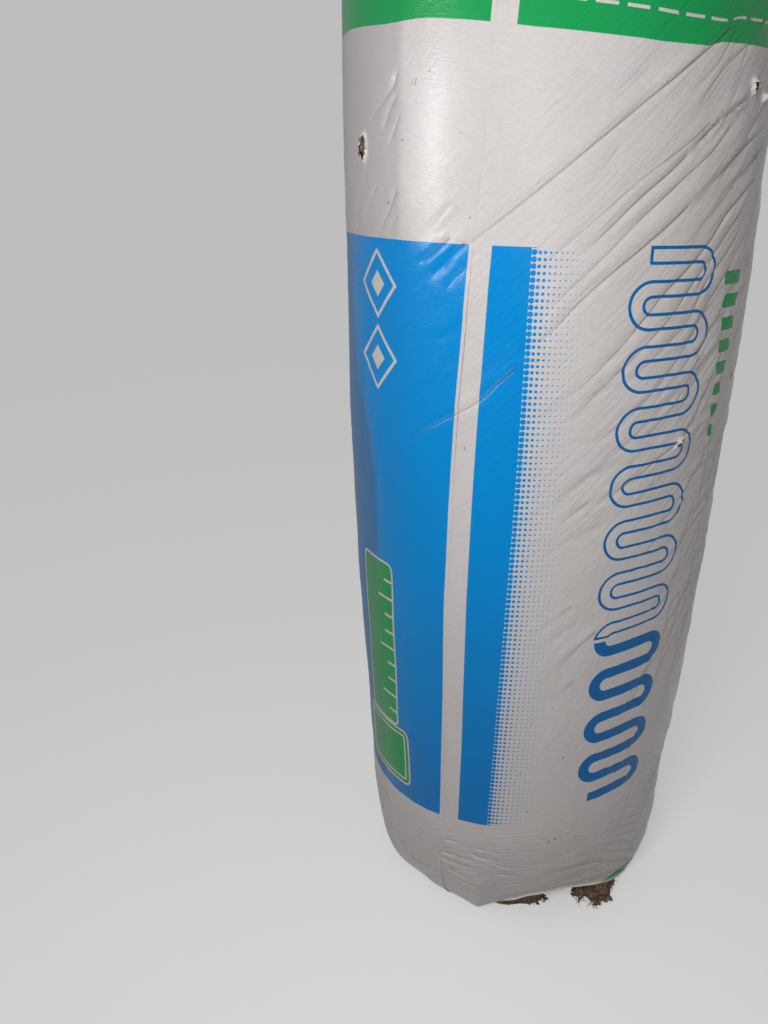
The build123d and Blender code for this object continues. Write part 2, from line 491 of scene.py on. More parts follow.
def foot_path(azimuth):
    """(radii, heights, lengths) of the film from its lower rim to FOOT_TOP, evenly spaced along it."""
    level, rim = float(rim_level(azimuth)), float(rim_radius(azimuth))
    heights = level + (FOOT_TOP - level) * np.linspace(0, 1, PATH_SAMPLES) ** 2
    radii = film_radius(azimuth, heights)
    turned_in = TURNED_IN * np.clip(1 - (level - FLOOR_GAP) / TURNED_UP_TO, 0, 1)
    if turned_in > 0.001:
        inward = np.linspace(rim - turned_in, rim, INWARD_SAMPLES)[:-1]
        radii = np.concatenate([inward, radii])
        heights = np.concatenate([np.full(len(inward), FLOOR_GAP), heights])
    gone = np.concatenate([[0], np.cumsum(np.hypot(np.diff(radii), np.diff(heights)))])
    even = np.linspace(0, gone[-1], FOOT_SAMPLES)
    return np.interp(even, gone, radii), np.interp(even, gone, heights), FOOT_TOP + even - gone[-1]


foot_table = np.array([foot_path(azimuth) for azimuth in range(-180, 181)])


def between(table, row, column):
    """Reads a table at places between its rows and columns."""
    row0 = np.clip(np.floor(row).astype(int), 0, table.shape[0] - 2)
    column0 = np.clip(np.floor(column).astype(int), 0, table.shape[1] - 2)
    r, c = row - row0, column - column0
    return ((1 - r) * ((1 - c) * table[row0, column0] + c * table[row0, column0 + 1])
            + r * ((1 - c) * table[row0 + 1, column0] + c * table[row0 + 1, column0 + 1]))


def drift_round(azimuth, bumps, seed):
    """A soft wave round the roll that closes on itself, about -1 to 1."""
    angle = np.radians(np.asarray(azimuth, float))
    waves = sum(np.sin(n * angle + seed * 7 * n * n) / n**0.5 for n in range(bumps, bumps + 6))
    return waves / 1.6


def lap_edge(height):
    """Azimuth of the lap's cut edge at a height."""
    return smooth_table(height, STRIPE_HEIGHTS, LAP_EDGE_AZIMUTHS) + MARGIN_DEGREES


def wrap(x, y):
    """(azimuth, radius, height, distance along the film) of points of the flat sheet."""
    azimuth = np.degrees(x / ROLL_RADIUS)
    share = np.clip((y - sheet_bottom) / (FOOT_TOP - sheet_bottom), 0, 1) * (FOOT_SAMPLES - 1)
    foot = [between(foot_table[:, n, :], wrapped(azimuth) + 180, share) for n in range(3)]
    over = y - SHOULDER_LEVEL
    inward = np.clip(over - shoulder_gone[-1], 0, None)
    opening = OPENING_WAVE * drift_round(azimuth, 4, 0.5) * inward / TOP_REACH
    shoulder_r = np.interp(over, shoulder_gone, shoulder_line[0]) - inward + opening
    shoulder_h = np.interp(over, shoulder_gone, shoulder_line[1])
    side = smooth_table(y, SIDE_HEIGHTS, SIDE_RADII)
    low, high = y < FOOT_TOP, y > SHOULDER_LEVEL
    radius = np.where(low, foot[0], np.where(high, shoulder_r, side))
    height = np.where(low, foot[1], np.where(high, shoulder_h, y))
    # The lap's cut edge leans, so the sheet's last part leans with it.
    into_last_part = azimuth - math.degrees(sheet_right / ROLL_RADIUS) + LEANING_PART
    lean = np.clip(into_last_part / LEANING_PART, 0, 1)
    azimuth = azimuth + lean * (lap_edge(height) - LAP_EDGE_AZIMUTHS[2] - MARGIN_DEGREES)
    return azimuth, radius, height, np.where(low, foot[2], y)


print("a corner of the sheet lands at", [round(float(n), 3) for n in wrap(sheet_left, sheet_bottom)])

# %% [markdown]
# A fold in tight film is a narrow valley with a softer ridge beside it. The film was twisted a little as it
# was pulled round the roll, so most folds climb to the right. Those that the photograph shows are listed by
# pixels along them, and the back gets more of the same kind from a seeded random generator. Each fold ends
# with its depth and its width in millimetres.

# %% Folds that the photograph shows
TENSION_FOLDS = (
    (((744, 17), (716, 43), (660, 91), (600, 140), (530, 197), (470, 243), (432, 273)), 2.6, 1.9),
    (((759, 88), (720, 122), (680, 165), (640, 200), (602, 237), (568, 268)), 3.0, 2.2),
    (((716, 118), (690, 143), (640, 182), (573, 240), (548, 262)), 2.0, 2.4),
    (((738, 116), (720, 144), (680, 185), (640, 222), (600, 262), (560, 300), (528, 332)), 2.2, 2.0),
    (((768, 118), (742, 152), (700, 197), (663, 232), (620, 268), (580, 303), (545, 338), (482, 380)),
     2.8, 2.2),
    (((764, 142), (745, 172), (722, 203), (700, 230), (676, 262)), 1.8, 1.9),
    (((762, 162), (748, 188), (730, 212), (712, 240), (690, 268), (664, 295), (632, 335), (600, 370),
      (560, 404), (534, 424)), 2.6, 2.2),
    (((752, 192), (735, 222), (718, 250), (700, 275), (670, 318), (640, 352), (600, 392), (572, 420),
      (545, 440)), 2.2, 2.0),
    (((745, 218), (728, 252), (706, 285), (690, 318), (670, 342), (640, 372), (612, 398)), 1.8, 1.9),
    (((742, 242), (722, 282), (704, 312), (690, 340), (660, 385), (640, 408), (600, 440), (570, 458)),
     1.8, 2.0),
    (((738, 266), (720, 312), (702, 347), (690, 377), (668, 404), (640, 432), (600, 468), (566, 500),
      (543, 516)), 1.8, 2.1),
    (((735, 300), (715, 347), (697, 380), (684, 402), (664, 427)), 1.6, 1.9),
    (((728, 332), (712, 377), (698, 414), (684, 437), (664, 456), (640, 476), (600, 505), (560, 530)),
     2.2, 2.0),
    (((737, 156), (715, 181), (690, 207)), 1.2, 1.8),
    (((750, 156), (733, 182), (706, 209)), 1.2, 1.8),
    (((624, 142), (592, 180), (556, 202)), 1.2, 3.2),
    (((654, 66), (638, 79), (620, 94)), 0.9, 2.2),
    (((680, 68), (660, 78), (632, 82)), 0.6, 2.4),
    (((522, 75), (500, 90), (478, 110)), 0.9, 2.2),
    (((667, 474), (645, 496), (628, 512)), 1.2, 1.8),
    (((640, 458), (618, 477), (598, 492)), 1.0, 2.0),
    (((609, 468), (580, 486), (543, 516)), 1.2, 2.0),
    (((592, 502), (572, 516), (554, 533)), 1.5, 2.0),
    (((600, 528), (580, 535), (556, 548)), 0.8, 2.2),
    (((574, 605), (552, 622), (526, 642)), 1.0, 2.2),
    (((582, 620), (556, 638), (534, 660)), 1.0, 2.2),
    (((598, 630), (576, 650), (555, 676)), 1.5, 2.2),
    (((576, 681), (562, 691), (548, 705)), 1.4, 2.2),
    (((524, 344), (500, 360), (478, 376), (452, 392)), 1.2, 1.3),
    (((522, 364), (500, 383), (476, 404), (430, 428), (400, 450)), 2.2, 1.8),
    (((508, 278), (488, 302), (452, 330), (430, 350)), 0.8, 2.2),
    (((455, 352), (436, 380), (405, 405)), 0.8, 2.4),
    (((545, 345), (520, 392), (492, 418), (440, 452)), 0.7, 2.6),
)
LEFT_FOLDS = (
    (((399, 66), (394, 86), (384, 102), (374, 116), (366, 128)), 1.8, 3.0),
    (((398, 94), (391, 108), (386, 122), (381, 136)), 2.0, 1.9),
    (((401, 112), (394, 132), (386, 152)), 1.8, 1.7),
    (((399, 183), (392, 205), (386, 219), (380, 234), (374, 252)), 1.8, 2.0),
    (((406, 205), (395, 222), (387, 240)), 1.2, 2.0),
    (((379, 182), (370, 205), (364, 228)), 1.2, 2.0),
    (((372, 150), (362, 190), (356, 222)), 0.9, 2.4),
    (((452, 202), (441, 217), (428, 232)), 1.0, 2.4),
    (((462, 208), (446, 226), (436, 240)), 0.8, 2.2),
    (((468, 241), (454, 254), (440, 268), (429, 281)), 3.0, 2.1),
    (((452, 236), (440, 247), (427, 258), (416, 265)), 2.2, 1.8),
    (((466, 266), (455, 279), (444, 292)), 1.8, 1.7),
    (((372, 300), (366, 380), (364, 460)), 0.7, 3.0),
    (((384, 420), (376, 500), (376, 560)), 0.7, 3.0),
)
FOOT_FOLDS = (
    (((444, 838), (456, 843), (470, 848)), 1.8, 1.5),
    (((438, 850), (460, 857), (484, 863)), 2.0, 1.5),
    (((438, 856), (456, 864), (476, 870)), 2.0, 1.5),
    (((446, 868), (462, 876), (484, 883)), 2.0, 1.5),
    (((450, 876), (468, 884), (490, 889)), 1.8, 1.5),
    (((470, 854), (486, 859), (504, 862)), 2.2, 1.5),
    (((474, 848), (492, 852), (510, 856)), 1.8, 1.5),
    (((492, 862), (506, 867), (524, 868)), 1.8, 1.5),
    (((496, 873), (508, 875), (524, 876)), 2.0, 1.5),
    (((476, 888), (490, 892), (506, 894)), 1.8, 1.5),
    (((486, 880), (502, 884), (520, 885)), 1.6, 1.5),
    (((634, 856), (604, 863), (580, 868), (552, 874), (530, 882)), 5.5, 4.6),
    (((644, 812), (626, 819), (604, 827)), 1.8, 1.3),
    (((642, 820), (622, 827), (600, 834)), 1.8, 1.3),
    (((641, 829), (626, 834), (609, 841)), 1.8, 1.3),
    (((639, 838), (614, 844), (585, 849)), 1.8, 1.3),
    (((638, 846), (614, 851), (589, 855)), 1.8, 1.3),
    (((636, 852), (606, 858), (575, 863)), 1.8, 1.3),
    (((630, 859), (614, 864), (598, 868)), 1.6, 1.3),
    (((606, 842), (582, 848), (556, 850)), 0.6, 2.4),
    (((427, 869), (414, 859), (404, 849), (396, 838), (389, 824), (385, 808)), 5.0, 1.8),
    (((440, 874), (424, 862), (412, 850), (404, 838)), 1.6, 1.4),
    (((398, 812), (420, 824), (446, 828)), 0.6, 2.6),
)
RIGHT_FOLDS = (
    (((706, 520), (698, 556), (689, 592), (680, 630)), 1.8, 1.9),
    (((700, 540), (690, 576), (680, 620), (672, 652)), 1.6, 1.7),
    (((696, 500), (685, 532), (674, 562)), 1.4, 1.9),
    (((690, 598), (680, 640), (668, 680), (658, 722)), 1.6, 2.0),
    (((680, 600), (666, 650), (654, 692)), 1.2, 1.8),
    (((666, 640), (655, 680), (648, 704)), 1.4, 1.8),
    (((662, 730), (652, 768), (640, 800)), 1.2, 2.2),
    (((716, 420), (706, 470), (700, 505)), 1.4, 2.0),
    (((712, 470), (704, 510), (694, 552)), 1.4, 1.8),
)


def unrolled(azimuth, height):
    """A place on the film as if it were laid flat: metres across and metres up."""
    return np.radians(azimuth) * ROLL_RADIUS, height


def smooth_line(points, pieces=6):
    """A curve through a few points (Catmull-Rom), with some more points between each two."""
    points = np.asarray(points, float)
    padded = np.vstack([2 * points[0] - points[1], points, 2 * points[-1] - points[-2]])
    t = np.linspace(0, 1, pieces, endpoint=False)[:, None]
    parts = []
    for before, start, end, after in zip(padded, padded[1:], padded[2:], padded[3:]):
        parts.append(0.5 * (2 * start + (end - before) * t + (2 * before - 5 * start + 4 * end - after) * t**2
                            + (3 * start - before - 3 * end + after) * t**3))
    return np.vstack([*parts, points[-1:]])


folds = []
for pixels, depth, width in TENSION_FOLDS + LEFT_FOLDS + FOOT_FOLDS + RIGHT_FOLDS:
    line_points = [unrolled(*seen_at(pixel)) for pixel in pixels]
    folds.append((smooth_line(line_points), depth / 1000, width / 1000))
print(len(folds), "folds come from the photograph")

# %% Folds on the sides and the back
fold_dice = random.Random(7)
# How many folds, between which azimuths, heights and lengths, how steep on average and how unlike each
# other in that, and between which depths and widths.
RANDOM_FOLDS = (
    (100, (70, 272), (0.24, 1.08), (0.05, 0.26), 46, 7, (0.0010, 0.0028), (0.0012, 0.0022)),
    (45, (34, 74), (0.50, 0.98), (0.03, 0.12), 44, 5, (0.0008, 0.0018), (0.0009, 0.0013)),
    (34, (32, 66), (0.20, 0.52), (0.03, 0.11), 68, 7, (0.0008, 0.0018), (0.0009, 0.0013)),
    (52, (-34, 60), (0.035, 0.110), (0.014, 0.045), 3, 6, (0.0012, 0.0022), (0.0009, 0.0013)),
    (55, (62, 300), (0.03, 0.12), (0.03, 0.08), 6, 9, (0.0007, 0.0015), (0.0010, 0.0016)),
    (60, (-48, 330), (1.08, 1.15), (0.03, 0.09), 80, 12, (0.0006, 0.0016), (0.0014, 0.0024)),
)


def random_fold(azimuths, levels, reaches, climb_degrees, spread, depths, widths):
    """A gently curved fold somewhere in a range, which runs down to the left."""
    azimuth, height = fold_dice.uniform(*azimuths), fold_dice.uniform(*levels)
    reach, climb = fold_dice.uniform(*reaches), math.radians(fold_dice.gauss(climb_degrees, spread))
    x, y = unrolled(azimuth, height)
    bow = fold_dice.gauss(0, 0.05) * reach
    run, rise = -reach * math.cos(climb), -reach * math.sin(climb)
    points = [(x, y), (x + run / 2 - bow, y + rise / 2 + bow), (x + run, y + rise)]
    return smooth_line(points), fold_dice.uniform(*depths), fold_dice.uniform(*widths)


for count, *ranges in RANDOM_FOLDS:
    folds.extend([random_fold(*ranges) for _ in range(count)])
print(len(folds), "folds in all")

# %% [markdown]
# A fine grid over the whole sheet would waste its faces on smooth film. So the sheet starts as a coarse grid,
# and only the faces near a fold, a tear, the lap or an end are subdivided. Three rounds do that, each over
# less of the sheet, and the last two leave out the back.

# %% Distance to the folds
FAR_AWAY = 0.02
ONCE_ROUND = 2 * math.pi * ROLL_RADIUS
PRESSED = 0.60                  # share of a fold's depth that the mesh shows, the material draws the rest
RIDGE_SHARE, HOLLOW_SHARE = 0.60, 0.35      # heights of the ridge and the hollow for a valley of 1
RIDGE_OFFSET, HOLLOW_OFFSET = 3.0, -4.5     # how many widths they lie beside it
CREASE_REACH = 0.0022           # the material draws creases this far from a fold, and fades them beyond
CREASE_GAP = 0.0024             # it draws them wholly where the next fold is this much further away
DEEP_FOLD = 0.002               # a fold this deep has the strength 1


def beside_line(x, y, line):
    """(signed distance to a line, share of its length) for places near it."""
    starts, run = line[:-1], np.diff(line, axis=0)
    dx, dy = x[:, None] - starts[:, 0], y[:, None] - starts[:, 1]
    t = np.clip((dx * run[:, 0] + dy * run[:, 1]) / (run**2).sum(axis=1), 0, 1)
    away = np.hypot(dx - t * run[:, 0], dy - t * run[:, 1])
    best = away.argmin(axis=1)
    rows = np.arange(len(x))
    side = np.sign(dx * run[:, 1] - dy * run[:, 0])[rows, best]
    return away[rows, best] * side, (best + t[rows, best]) / len(run)


def press_folds(x, y):
    """(how far each place moves outwards, distance to the nearest fold, that fold's strength).

    A fold starts narrow and sharp, and gets wider and flatter towards its end. A ridge runs above it, and a
    wide shallow hollow below it.
    """
    moved, nearest, strength = np.zeros(len(x)), np.full(len(x), FAR_AWAY), np.zeros(len(x))
    second = np.full(len(x), FAR_AWAY)
    for line, depth, width in folds:
        for shift in (0.0, ONCE_ROUND):
            low, high = line.min(axis=0) - FAR_AWAY, line.max(axis=0) + FAR_AWAY
            here = (x - shift > low[0]) & (x - shift < high[0]) & (y > low[1]) & (y < high[1])
            if not here.any():
                continue
            offset, along = beside_line(x[here] - shift, y[here], line)
            ease = np.clip(along / 0.12, 0, 1) * np.clip((1 - along) / 0.25, 0, 1)
            ease = ease**2 * (3 - 2 * ease) * (1 - 0.5 * along)
            spread = width * (0.7 + 0.8 * along)
            valley = np.exp(-((np.abs(offset) / spread) ** 1.3))
            ridge = np.exp(-(((offset - RIDGE_OFFSET * spread) / (2 * spread)) ** 2))
            hollow = np.exp(-(((offset - HOLLOW_OFFSET * spread) / (3.5 * spread)) ** 2))
            moved[here] += PRESSED * depth * ease * (RIDGE_SHARE * ridge - valley - HOLLOW_SHARE * hollow)
            away, nearest_yet = np.abs(offset), np.abs(nearest[here])
            closer = away < nearest_yet
            second[here] = np.minimum(second[here], np.where(closer, nearest_yet, away))
            nearest[here] = np.where(closer, offset, nearest[here])
            near_share = np.clip(2 - away / CREASE_REACH, 0, 1)
            strength[here] = np.where(closer, ease * depth / DEEP_FOLD * near_share, strength[here])
    # Halfway between two folds neither counts, or the material would draw a crease there.
    strength *= np.clip((second - np.abs(nearest)) / CREASE_GAP, 0, 1)
    return moved, nearest, strength


# %% Tears
def tear_distance(x, y):
    """(how far places are outside the nearest tear, below 0 inside, and how far its lips stand out)."""
    nearest, lips = np.full(len(x), 1.0), np.zeros(len(x))
    for (azimuth, height), (_, half_width, half_height, lean, uneven, lip) in zip(torn_places, TEARS):
        dx, dy = x - math.radians(azimuth) * ROLL_RADIUS, y - height
        dx = np.where(dx > ONCE_ROUND / 2, dx - ONCE_ROUND, dx)
        cosine, sine = math.cos(math.radians(lean)), math.sin(math.radians(lean))
        a, b = dx * cosine + dy * sine, dy * cosine - dx * sine
        around = np.arctan2(b, a)
        ragged = 1 + uneven * (0.22 * np.sin(3 * around + azimuth) + 0.14 * np.sin(7 * around))
        share = np.maximum(np.hypot(a / half_width, b / half_height) / ragged, 1e-6)
        distance = np.hypot(a, b) * (1 - 1 / share)
        lips = np.where(distance < nearest, lip, lips)
        nearest = np.minimum(nearest, distance)
    return nearest, lips


# %% Make the flat sheet and divide it where it needs detail
COARSE = 0.0092                 # side of a face before the first round
# Each round: how far from a fold and from a tear it divides faces, how many degrees to either side of the
# front it reaches, and the least strength of a fold that counts.
ROUNDS = ((0.0085, 0.016, 180, 0), (0.0040, 0.010, 80, 0.1), (0.0013, 0.006, 66, 0.7))
TOP_FROM = 1.11                 # the film is gathered from this height on
LAP_START = 360 + HIDDEN_EDGE - 0.5         # where the sheet comes over its own start
NEAR_LAP = 2.0                  # faces are divided this many degrees to either side of it
RIM_MIDDLE, RIM_REACH = 18, 42  # the rim is lifted this far to either side of this direction
FOOT_MIDDLE, FOOT_REACH, FOOT_LEVEL = 10, 66, 0.05          # and the foot shows this far, up to this height

bpy.ops.mesh.primitive_grid_add(x_subdivisions=round(film_width / COARSE),
                                y_subdivisions=round(film_length / COARSE), size=1)
film = bpy.context.object
film.name = "film"


def read_places(collection, field):
    """One row of x, y and z for each point or face."""
    values = np.zeros(len(collection) * 3)
    collection.foreach_get(field, values)
    return values.reshape(-1, 3)


flat = read_places(film.data.vertices, "co")
flat[:, 0] = sheet_left + (flat[:, 0] + 0.5) * film_width
flat[:, 1] = sheet_bottom + (flat[:, 1] + 0.5) * film_length
film.data.vertices.foreach_set("co", flat.ravel())
film.data.update()
bpy.ops.object.mode_set(mode="EDIT")
bpy.ops.mesh.select_mode(type="FACE")
bpy.ops.mesh.select_all(action="DESELECT")
bpy.ops.object.mode_set(mode="OBJECT")

for near_fold, near_tear, seen_to, least_strength in ROUNDS:
    centres = read_places(film.data.polygons, "center")
    azimuth, _, height, _ = wrap(centres[:, 0], centres[:, 1])
    x, y = unrolled(azimuth, height)
    _, distance, strength = press_folds(x, y)
    front = wrapped(azimuth)
    chosen = (np.abs(distance) < near_fold) & (strength >= least_strength)
    chosen |= tear_distance(x, y)[0] < near_tear
    chosen |= (centres[:, 1] < sheet_bottom + near_tear) & (np.abs(front - RIM_MIDDLE) < RIM_REACH)
    chosen &= np.abs(front) < seen_to
    if seen_to == 180:
        chosen |= (centres[:, 1] > TOP_FROM) | (azimuth > 360 - NEAR_LAP + lap_edge(height))
        chosen |= np.abs(azimuth - LAP_START) < NEAR_LAP
        chosen |= (y < FOOT_LEVEL) & (np.abs(front - FOOT_MIDDLE) < FOOT_REACH)
    film.data.polygons.foreach_set("select", chosen)
    bpy.ops.object.mode_set(mode="EDIT")
    bpy.ops.mesh.subdivide(number_cuts=1)
    bpy.ops.mesh.select_all(action="DESELECT")
    bpy.ops.object.mode_set(mode="OBJECT")
    print("divided", int(chosen.sum()), "faces, now", len(film.data.polygons))

# %% Cut the tears
centres = read_places(film.data.polygons, "center")
in_tear = tear_distance(centres[:, 0], centres[:, 1])[0] < 0
film.data.polygons.foreach_set("select", in_tear)
bpy.ops.object.mode_set(mode="EDIT")
bpy.ops.mesh.select_mode(type="FACE")
bpy.ops.mesh.delete(type="FACE")
bpy.ops.object.mode_set(mode="OBJECT")
bpy.ops.object.select_all(action="DESELECT")
triangles = sum(len(face.vertices) - 2 for face in film.data.polygons)
print(int(in_tear.sum()), "faces cut out for", len(TEARS), "tears,", triangles, "triangles")

# %% [markdown]
# Now every point of the flat sheet goes to its place on the roll. The next cells add up how far each point
# moves outwards: the folds move it in or out, slack film bulges softly, the lap rides on the film below, and
# the top end is gathered into pleats. The last of them wraps the sheet and lifts its rim at the foot.

# %% Folds, slack and waves
SLACK, RIPPLE = 0.0020, 0.0005  # how far wide and narrow bulges of slack film stand out
CALM_BY_TEARS = 0.020           # there is less of that this close to a tear
WAVES = 0.0011                  # height of the long low waves of the tight film
WAVE_LEVELS, WAVE_CLIMBS = (0.0, 0.10, 0.22, 0.50, 0.62, 1.2), (4, 8, 66, 66, 47, 44)
WAVE_WIDTH, WAVE_LENGTH = 0.016, 0.13

flat = read_places(film.data.vertices, "co")
directions, radii, heights, printed = wrap(flat[:, 0], flat[:, 1])
across_film, up_film = unrolled(directions, heights)
outwards, fold_distance, fold_strength = press_folds(across_film, up_film)
print(f"deepest fold {outwards.min() * 1000:.1f} mm, highest ridge {outwards.max() * 1000:.1f} mm")

round_places = on_roll(directions, ROLL_RADIUS, heights)
slack = drift(round_places, 0.16, seed=1.3, octaves=2)
ripple = drift(round_places * np.array([1, 1, 0.55]), 0.035, seed=4.1, octaves=2)
from_tear, lips = tear_distance(across_film, up_film)
bulge = SLACK * slack + RIPPLE * ripple
outwards += bulge * (1 - np.exp(-((np.clip(from_tear, 0, 1) / CALM_BY_TEARS) ** 2)))

# Between its folds the tight film lies in long low waves that run the same way.
climb = np.radians(smooth_table(heights, WAVE_LEVELS, WAVE_CLIMBS))
wave_across = (across_film * np.sin(climb) - up_film * np.cos(climb)) / WAVE_WIDTH
wave_along = (across_film * np.cos(climb) + up_film * np.sin(climb)) / WAVE_LENGTH
waves = np.array([noise.fractal(Vector((a, b, 6.0)), 1.0, 2.0, 2) for a, b in zip(wave_across, wave_along)])
tight_side = np.clip((wrapped(directions) + 12) / 20, 0.25, 1)
outwards += WAVES * waves * tight_side * np.clip(from_tear / 0.012, 0, 1)
print(f"with waves from {outwards.min() * 1000:.1f} to {outwards.max() * 1000:.1f} mm")

# %% Lap and torn lips
FILM_LIFT = 0.0004              # half the gap between the lap and the film below it
LIFT_LEVELS = (0, 0.55, 0.60, 0.66, 0.72, 0.78, 0.86, 1.2)
LIFTS = (0, 0, 0.0008, 0.0014, 0.0012, 0.0002, 0, 0)            # of the lap's loose edge at those heights
LIP_WIDTH = 0.0026              # a torn lip curls up within this distance

from_lap_edge = 360 + lap_edge(heights) - directions
over_itself = np.clip((directions - (360 + HIDDEN_EDGE - 1.6)) / 1.6, 0, 1)
at_cut_edge = np.clip(1 - from_lap_edge / 2.5, 0, 1) * over_itself
lift = np.clip(smooth_table(heights, LIFT_LEVELS, LIFTS), 0, 1) * np.clip(0.8 + ripple, 0, 1)
under_lap = np.clip((lap_edge(heights) - 0.4 - directions) / 1.2, 0, 1) * (directions < 180)
pressed_down = 1 - 0.7 * np.clip(1 - from_lap_edge / 1.3, 0, 1)
outwards += FILM_LIFT * (over_itself * pressed_down - under_lap) + lift * at_cut_edge**2

torn_edge = np.exp(-((np.clip(from_tear, 0, 1) / LIP_WIDTH) ** 2))
outwards += torn_edge * lips * (1 + 0.9 * drift(round_places, 0.004, seed=2.2, octaves=2))
print(f"the lap's edge stands out by up to {(lift * at_cut_edge**2).max() * 1000:.1f} mm")

# %% Pleats of the gathered top
GATHERS = 44
PLEAT_DEPTH, PLEAT_GROWTH = 0.0009, 0.0018          # at the top's edge, and from there to the opening
SWIRL = 7.0                     # the twist of the gathered film at the opening, in degrees

angle = np.radians(directions)
wave = GATHERS * angle + 1.6 * np.sin(3 * angle + 1) + 1.1 * np.sin(7 * angle + 2) + 0.8 * np.sin(13 * angle)
height_in_top = np.clip((heights - TOP_FROM) / (FILM_TOP - TOP_FROM), 0, 1)
inwards = np.where(heights > FOOT_TOP, np.clip((SHOULDER_INNER - radii) / TOP_REACH, 0, 1), 0)
fullness = np.clip(0.8 + 0.5 * drift_round(directions, 5, 0.9), 0.15, 1.3)
gather = height_in_top**2 * (PLEAT_DEPTH + PLEAT_GROWTH * inwards) * fullness
pleat = np.sin(wave) + 0.35 * np.sin(2 * wave + 0.7)
turned_over = np.degrees(0.30 / GATHERS * np.cos(wave)) * inwards
swirl = SWIRL * inwards**2
rise_in = 0.004 * inwards * (1 - inwards) + 0.0045 * inwards**3
print(GATHERS, f"pleats, up to {gather.max() * 1000:.1f} mm deep")

# %% Lift the rim and wrap the sheet
RIM_WIDTH = 0.0045              # the lifted rim turns outwards within this distance
RIM_OUT, RIM_UP = 0.0034, 0.0012            # by this much, and upwards by this much
LEAST_HEIGHT = 0.0006           # no point comes closer to the floor

# The film lies flat under the foot, and its free rim is a little ragged.
outwards = np.where((heights < FLOOR_GAP + 1e-6) & (heights < FOOT_TOP), 0, outwards)
lifted = np.clip((rim_level(directions) - FLOOR_GAP) / 0.005, 0, 1)
from_rim = printed - np.interp(wrapped(directions), np.arange(-180, 181), foot_table[:, 2, 0])
at_rim = lifted * np.clip(1 - from_rim / RIM_WIDTH, 0, 1) ** 1.5
outwards += RIM_OUT * at_rim
raised_heights = heights + RIM_UP * at_rim * (1 + drift_round(directions, 30, 0.3))
tilt = np.clip((heights - SHOULDER_LEVEL) / (FILM_TOP - SHOULDER_LEVEL), 0, 1) * math.pi / 2
push = outwards + gather * pleat
final_radii = radii + push * np.cos(tilt)
final_heights = raised_heights + push * np.sin(tilt) + rise_in + gather * 0.8
places = on_roll(directions + turned_over + swirl, final_radii, np.maximum(final_heights, LEAST_HEIGHT))
film.data.vertices.foreach_set("co", places.ravel())
film.data.polygons.foreach_set("use_smooth", np.ones(len(film.data.polygons), bool))
film.data.update()
print("film reaches from", round(float(places[:, 2].min()), 4), "to", round(float(places[:, 2].max()), 4))

# %% [markdown]
# The print needs its own map. Across, it counts metres round the roll, and up, metres along the film. The
# printed lines of the real film run a little out of level and out of plumb, which the map takes up as well.
# More numbers go with it: how far a point is inside the printed part of the sheet, where the film is rough
# and painted with a grey sheen, where it is single or torn, and how near the next fold is, from which the
# material draws a crease finer than the mesh, with its painted shade.

# %% Map for the print
LEVELS = (-0.2, 0.173, 0.775, 0.926, 1.35)
LEVEL_TILT = (0.026, 0.026, -0.006, -0.020, -0.020)
PLUMB_LEVELS = (0.0, 0.18, 0.36, 0.54, 0.774, 1.0, 1.2)
PLUMB_DEGREES = (-7.0, -4.9, -2.9, -1.15, 0.0, 0.9, 1.6)
# A long fold swallows some of the green band's edge, so the edge jumps up to the right of it. That fold
# climbs by a metre in this many degrees, and through azimuth 0 at this height.
LONG_FOLD_CLIMB, LONG_FOLD_LEVEL = 286, 0.918
BAND_AZIMUTHS = (-120, -80, -60, -48, -40, -30, -18, 0, 12, 25, 28.5, 36, 47, 70, 110, 150)
BAND_RAISES = (0, 0.003, 0.001, 0.0032, 0.002, 0.0004, -0.0018, -0.003, -0.0032, -0.0013, 0.004, 0.0065,
               0.0097, 0.010, 0.004, 0)

beside_fold = wrapped(directions) - LONG_FOLD_CLIMB * (heights - LONG_FOLD_LEVEL)
raised = np.interp(beside_fold, BAND_AZIMUTHS, BAND_RAISES) * np.clip((printed - 0.86) / 0.04, 0, 1)
tilted = smooth_table(printed, LEVELS, LEVEL_TILT) * np.sin(np.radians(directions)) + raised
near_lap = np.clip((10 - directions) / 24, 0, 1)
plumb = smooth_table(heights, PLUMB_LEVELS, PLUMB_DEGREES) * near_lap
print_start = smooth_table(heights, STRIPE_HEIGHTS, PRINT_START_AZIMUTHS)
from_start = np.radians(directions - print_start) * ROLL_RADIUS
from_end = np.radians(from_lap_edge) * ROLL_RADIUS - BARE_MARGIN
film.data.uv_layers.remove(film.data.uv_layers[0])
keep_places(film, "print", across_film - np.radians(plumb) * ROLL_RADIUS, printed - tilted)
keep_numbers(film, "inside_print", np.minimum(from_start, from_end))
print("the printed part is", round(float((from_start + from_end).max()), 3), "m wide at most")

# %% Where the film has its painted sheen, is single, torn or creased
# The rough flank with the painted grey sheen lies to the left of these azimuths, and its edge is blurred over
# this many degrees.
DULL_SHEEN_LEVELS = (0.0, 0.20, 0.35, 0.45, 0.56, 0.60, 0.65, 0.72, 0.777, 1.2)
DULL_SHEEN_AZIMUTHS = (-64, -63, -61, -60, -60, -61.5, -65, -67, -67, -67)
DULL_SHEEN_BLUR = (1.5, 1.5, 1.5, 1.5, 1.8, 3.0, 7.0, 12.0, 14.0, 14.0)
SINGLE_AZIMUTH, SINGLE_ABOVE = -47.6, 0.77          # to its left and above this the film is a single layer

